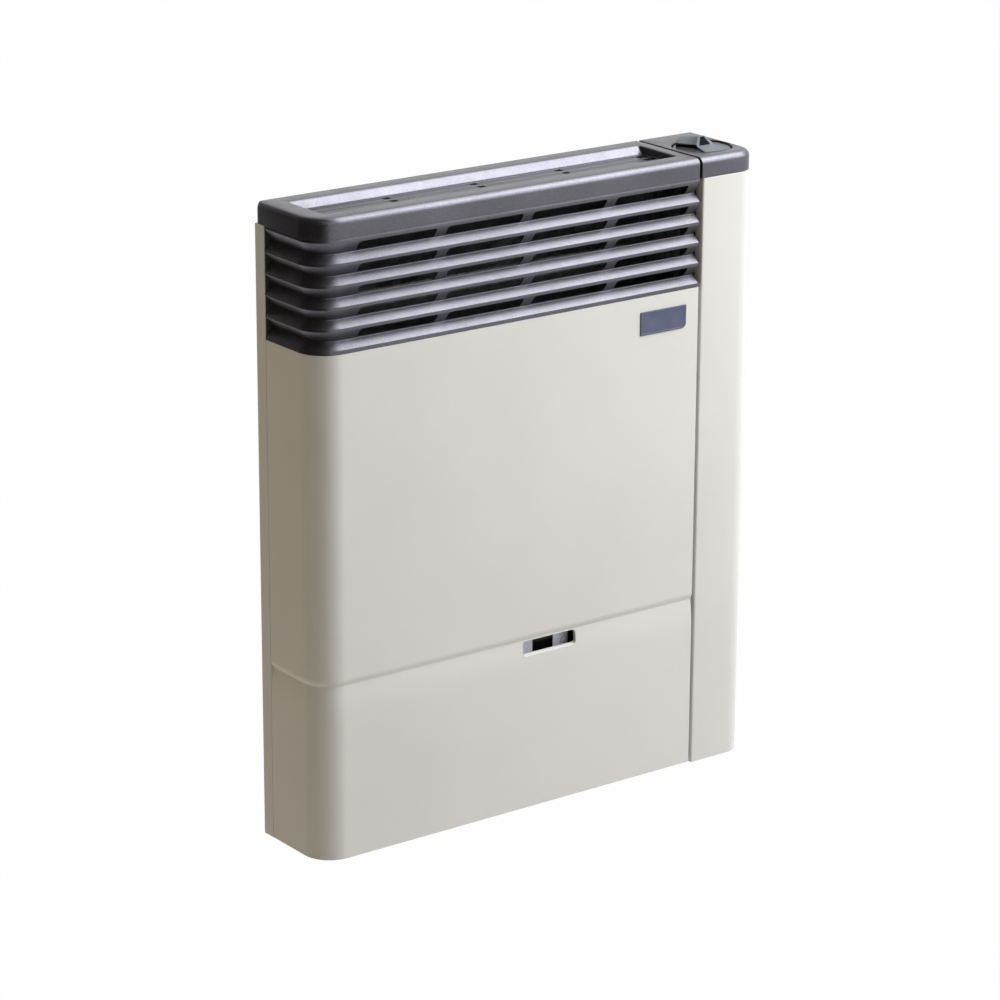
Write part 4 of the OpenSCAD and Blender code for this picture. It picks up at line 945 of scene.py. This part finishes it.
def world_light(scene):
    """A pale sky of soft light, darker and warmer on the object's left. It looks white itself."""
    world = bpy.data.worlds.new("studio")
    scene.world = world
    world.use_nodes = True
    board = Board(world.node_tree)
    way = board.node("ShaderNodeSeparateXYZ", {}, {
        0: board.node("ShaderNodeTexCoord", out="Generated")})
    behind = board.fade(way.beside("Y"), -0.5, 0.6)
    shady = board.blend(behind, (0.08, 0.05, 0.02, 1.0), (0.30, 0.21, 0.09, 1.0))
    glow = board.blend(board.fade(way, -0.9, 0.5), shady, (0.70, 0.705, 0.715, 1.0))
    soft = board.node("ShaderNodeBackground", {}, {"Color": glow, "Strength": 1.0})
    white = board.node("ShaderNodeBackground", {}, {"Color": WHITE, "Strength": 1.0})
    board.surface(board.node("ShaderNodeMixShader", {}, {
        0: seen_directly(board), 1: soft, 2: white}), "ShaderNodeOutputWorld")


def lamps(scene):
    """The studio's soft lamps."""
    for name, place, target, size, watts, colour, gloss in LAMPS:
        data = bpy.data.lights.new(name, "AREA")
        data.shape, data.size, data.size_y = "RECTANGLE", size[0], size[1]
        data.energy, data.color = watts, colour
        made = bpy.data.objects.new(name, data)
        made.location = place
        made.visible_glossy = gloss
        made.rotation_euler = (Vector(target) - Vector(place)).to_track_quat("-Z", "Y").to_euler()
        scene.collection.objects.link(made)


def stage_sheet(name, corners, material):
    """A flat sheet of the studio, which is not part of the object."""
    mesh = bpy.data.meshes.new(name)
    mesh.from_pydata(corners, [], [(0, 1, 2, 3)])
    mesh.materials.append(material)
    made = placed(name, mesh)
    return made


def pale_floor():
    """Warm white paper that the camera sees almost white."""
    material, board = new_finish("pale_floor")
    paper = board.node("ShaderNodeBsdfDiffuse", {}, {"Color": (0.68, 0.645, 0.57, 1.0)})
    lit = board.node("ShaderNodeEmission", {}, {"Color": WHITE, "Strength": 1.0})
    board.surface(board.node("ShaderNodeMixShader", {}, {
        0: seen_directly(board) * 0.985, 1: paper, 2: lit}))
    square = ((-1, -1), (1, -1), (1, 1), (-1, 1))
    stage_sheet("floor", [(x * FLOOR_REACH, y * FLOOR_REACH, FLOOR_Z) for x, y in square],
                material)


def dark_cards():
    """A dark tent round the object's left side, which is seen in gloss alone."""
    material, board = new_finish("dark_tent")
    felt = board.blend(board.noise(40.0), (0.012, 0.011, 0.011, 1.0), (0.02, 0.018, 0.018, 1.0))
    board.surface(board.node("ShaderNodeBsdfDiffuse", {}, {"Color": felt}))
    front, rear = -1.2, 2.8
    cards = [(name, [(xa, front, za), (xa, rear, za), (xb, rear, zb), (xb, front, zb)])
             for name, xa, za, xb, zb in (("side_card", -1.35, -1.0, -1.35, 1.15),
                                          ("shoulder_card", -1.35, 1.15, -0.9, 1.75),
                                          ("top_card", -0.9, 1.75, -0.12, 1.9))]
    cards.append(("front_card", [(-1.35, front, -1.0), (-0.85, -1.75, -1.0), (-0.85, -1.75, 1.6),
                                 (-1.35, front, 1.15)]))
    for name, corners in cards:
        card = stage_sheet(name, corners, material)
        card.visible_camera = card.visible_diffuse = False
        card.visible_shadow = card.visible_transmission = False


def photograph_view(scene):
    """A long lens from the photograph's place."""
    lens = bpy.data.cameras.new("camera")
    lens.sensor_width, lens.lens = 36.0, 132.85
    lens.clip_start, lens.clip_end = 0.05, 200.0
    camera = bpy.data.objects.new("camera", lens)
    camera.location = (-2.33886, -3.18108, 1.25089)
    heading, down, roll = -36.609, 17.937, 0.262
    turn = (Matrix.Rotation(math.radians(heading), 3, "Z")
            @ Matrix.Rotation(math.radians(90 - down), 3, "X")
            @ Matrix.Rotation(math.radians(roll), 3, "Z"))
    camera.rotation_euler = turn.to_euler()
    scene.collection.objects.link(camera)
    scene.camera = camera


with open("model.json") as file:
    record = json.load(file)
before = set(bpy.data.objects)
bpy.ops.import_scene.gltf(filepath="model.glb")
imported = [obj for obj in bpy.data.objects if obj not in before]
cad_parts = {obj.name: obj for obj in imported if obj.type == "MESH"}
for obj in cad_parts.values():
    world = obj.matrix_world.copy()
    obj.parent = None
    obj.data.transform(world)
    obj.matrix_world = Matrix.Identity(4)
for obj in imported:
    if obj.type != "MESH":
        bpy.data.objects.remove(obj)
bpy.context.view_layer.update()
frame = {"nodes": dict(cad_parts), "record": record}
scene = bpy.context.scene
scene.view_settings.view_transform = "Standard"
world_light(scene)
lamps(scene)
pale_floor()
dark_cards()
photograph_view(scene)
coats = finishes()
for row in frame["record"]["subparts"]:
    node = frame["nodes"][row["node"]]
    node.data.materials.clear()
    node.data.materials.append(coats[row["material_slot"]])
frame["nodes"]["rear_frame"].data.materials[0] = frame_coat("frame_paint_and_shade_darkened_zinc", PAINT)
frame["nodes"]["window_screws"].data.materials[0] = coats["bright_frame"]
for make in (front_cover, slot_lip, column_cover, louvre_grille, top_cap, outlet_plate, column_cap,
             knob_disc, knob_grip, grip_flank_shade_band, leaning_face_shade_inlay, return_spring, badge_plate):
    make(coats)
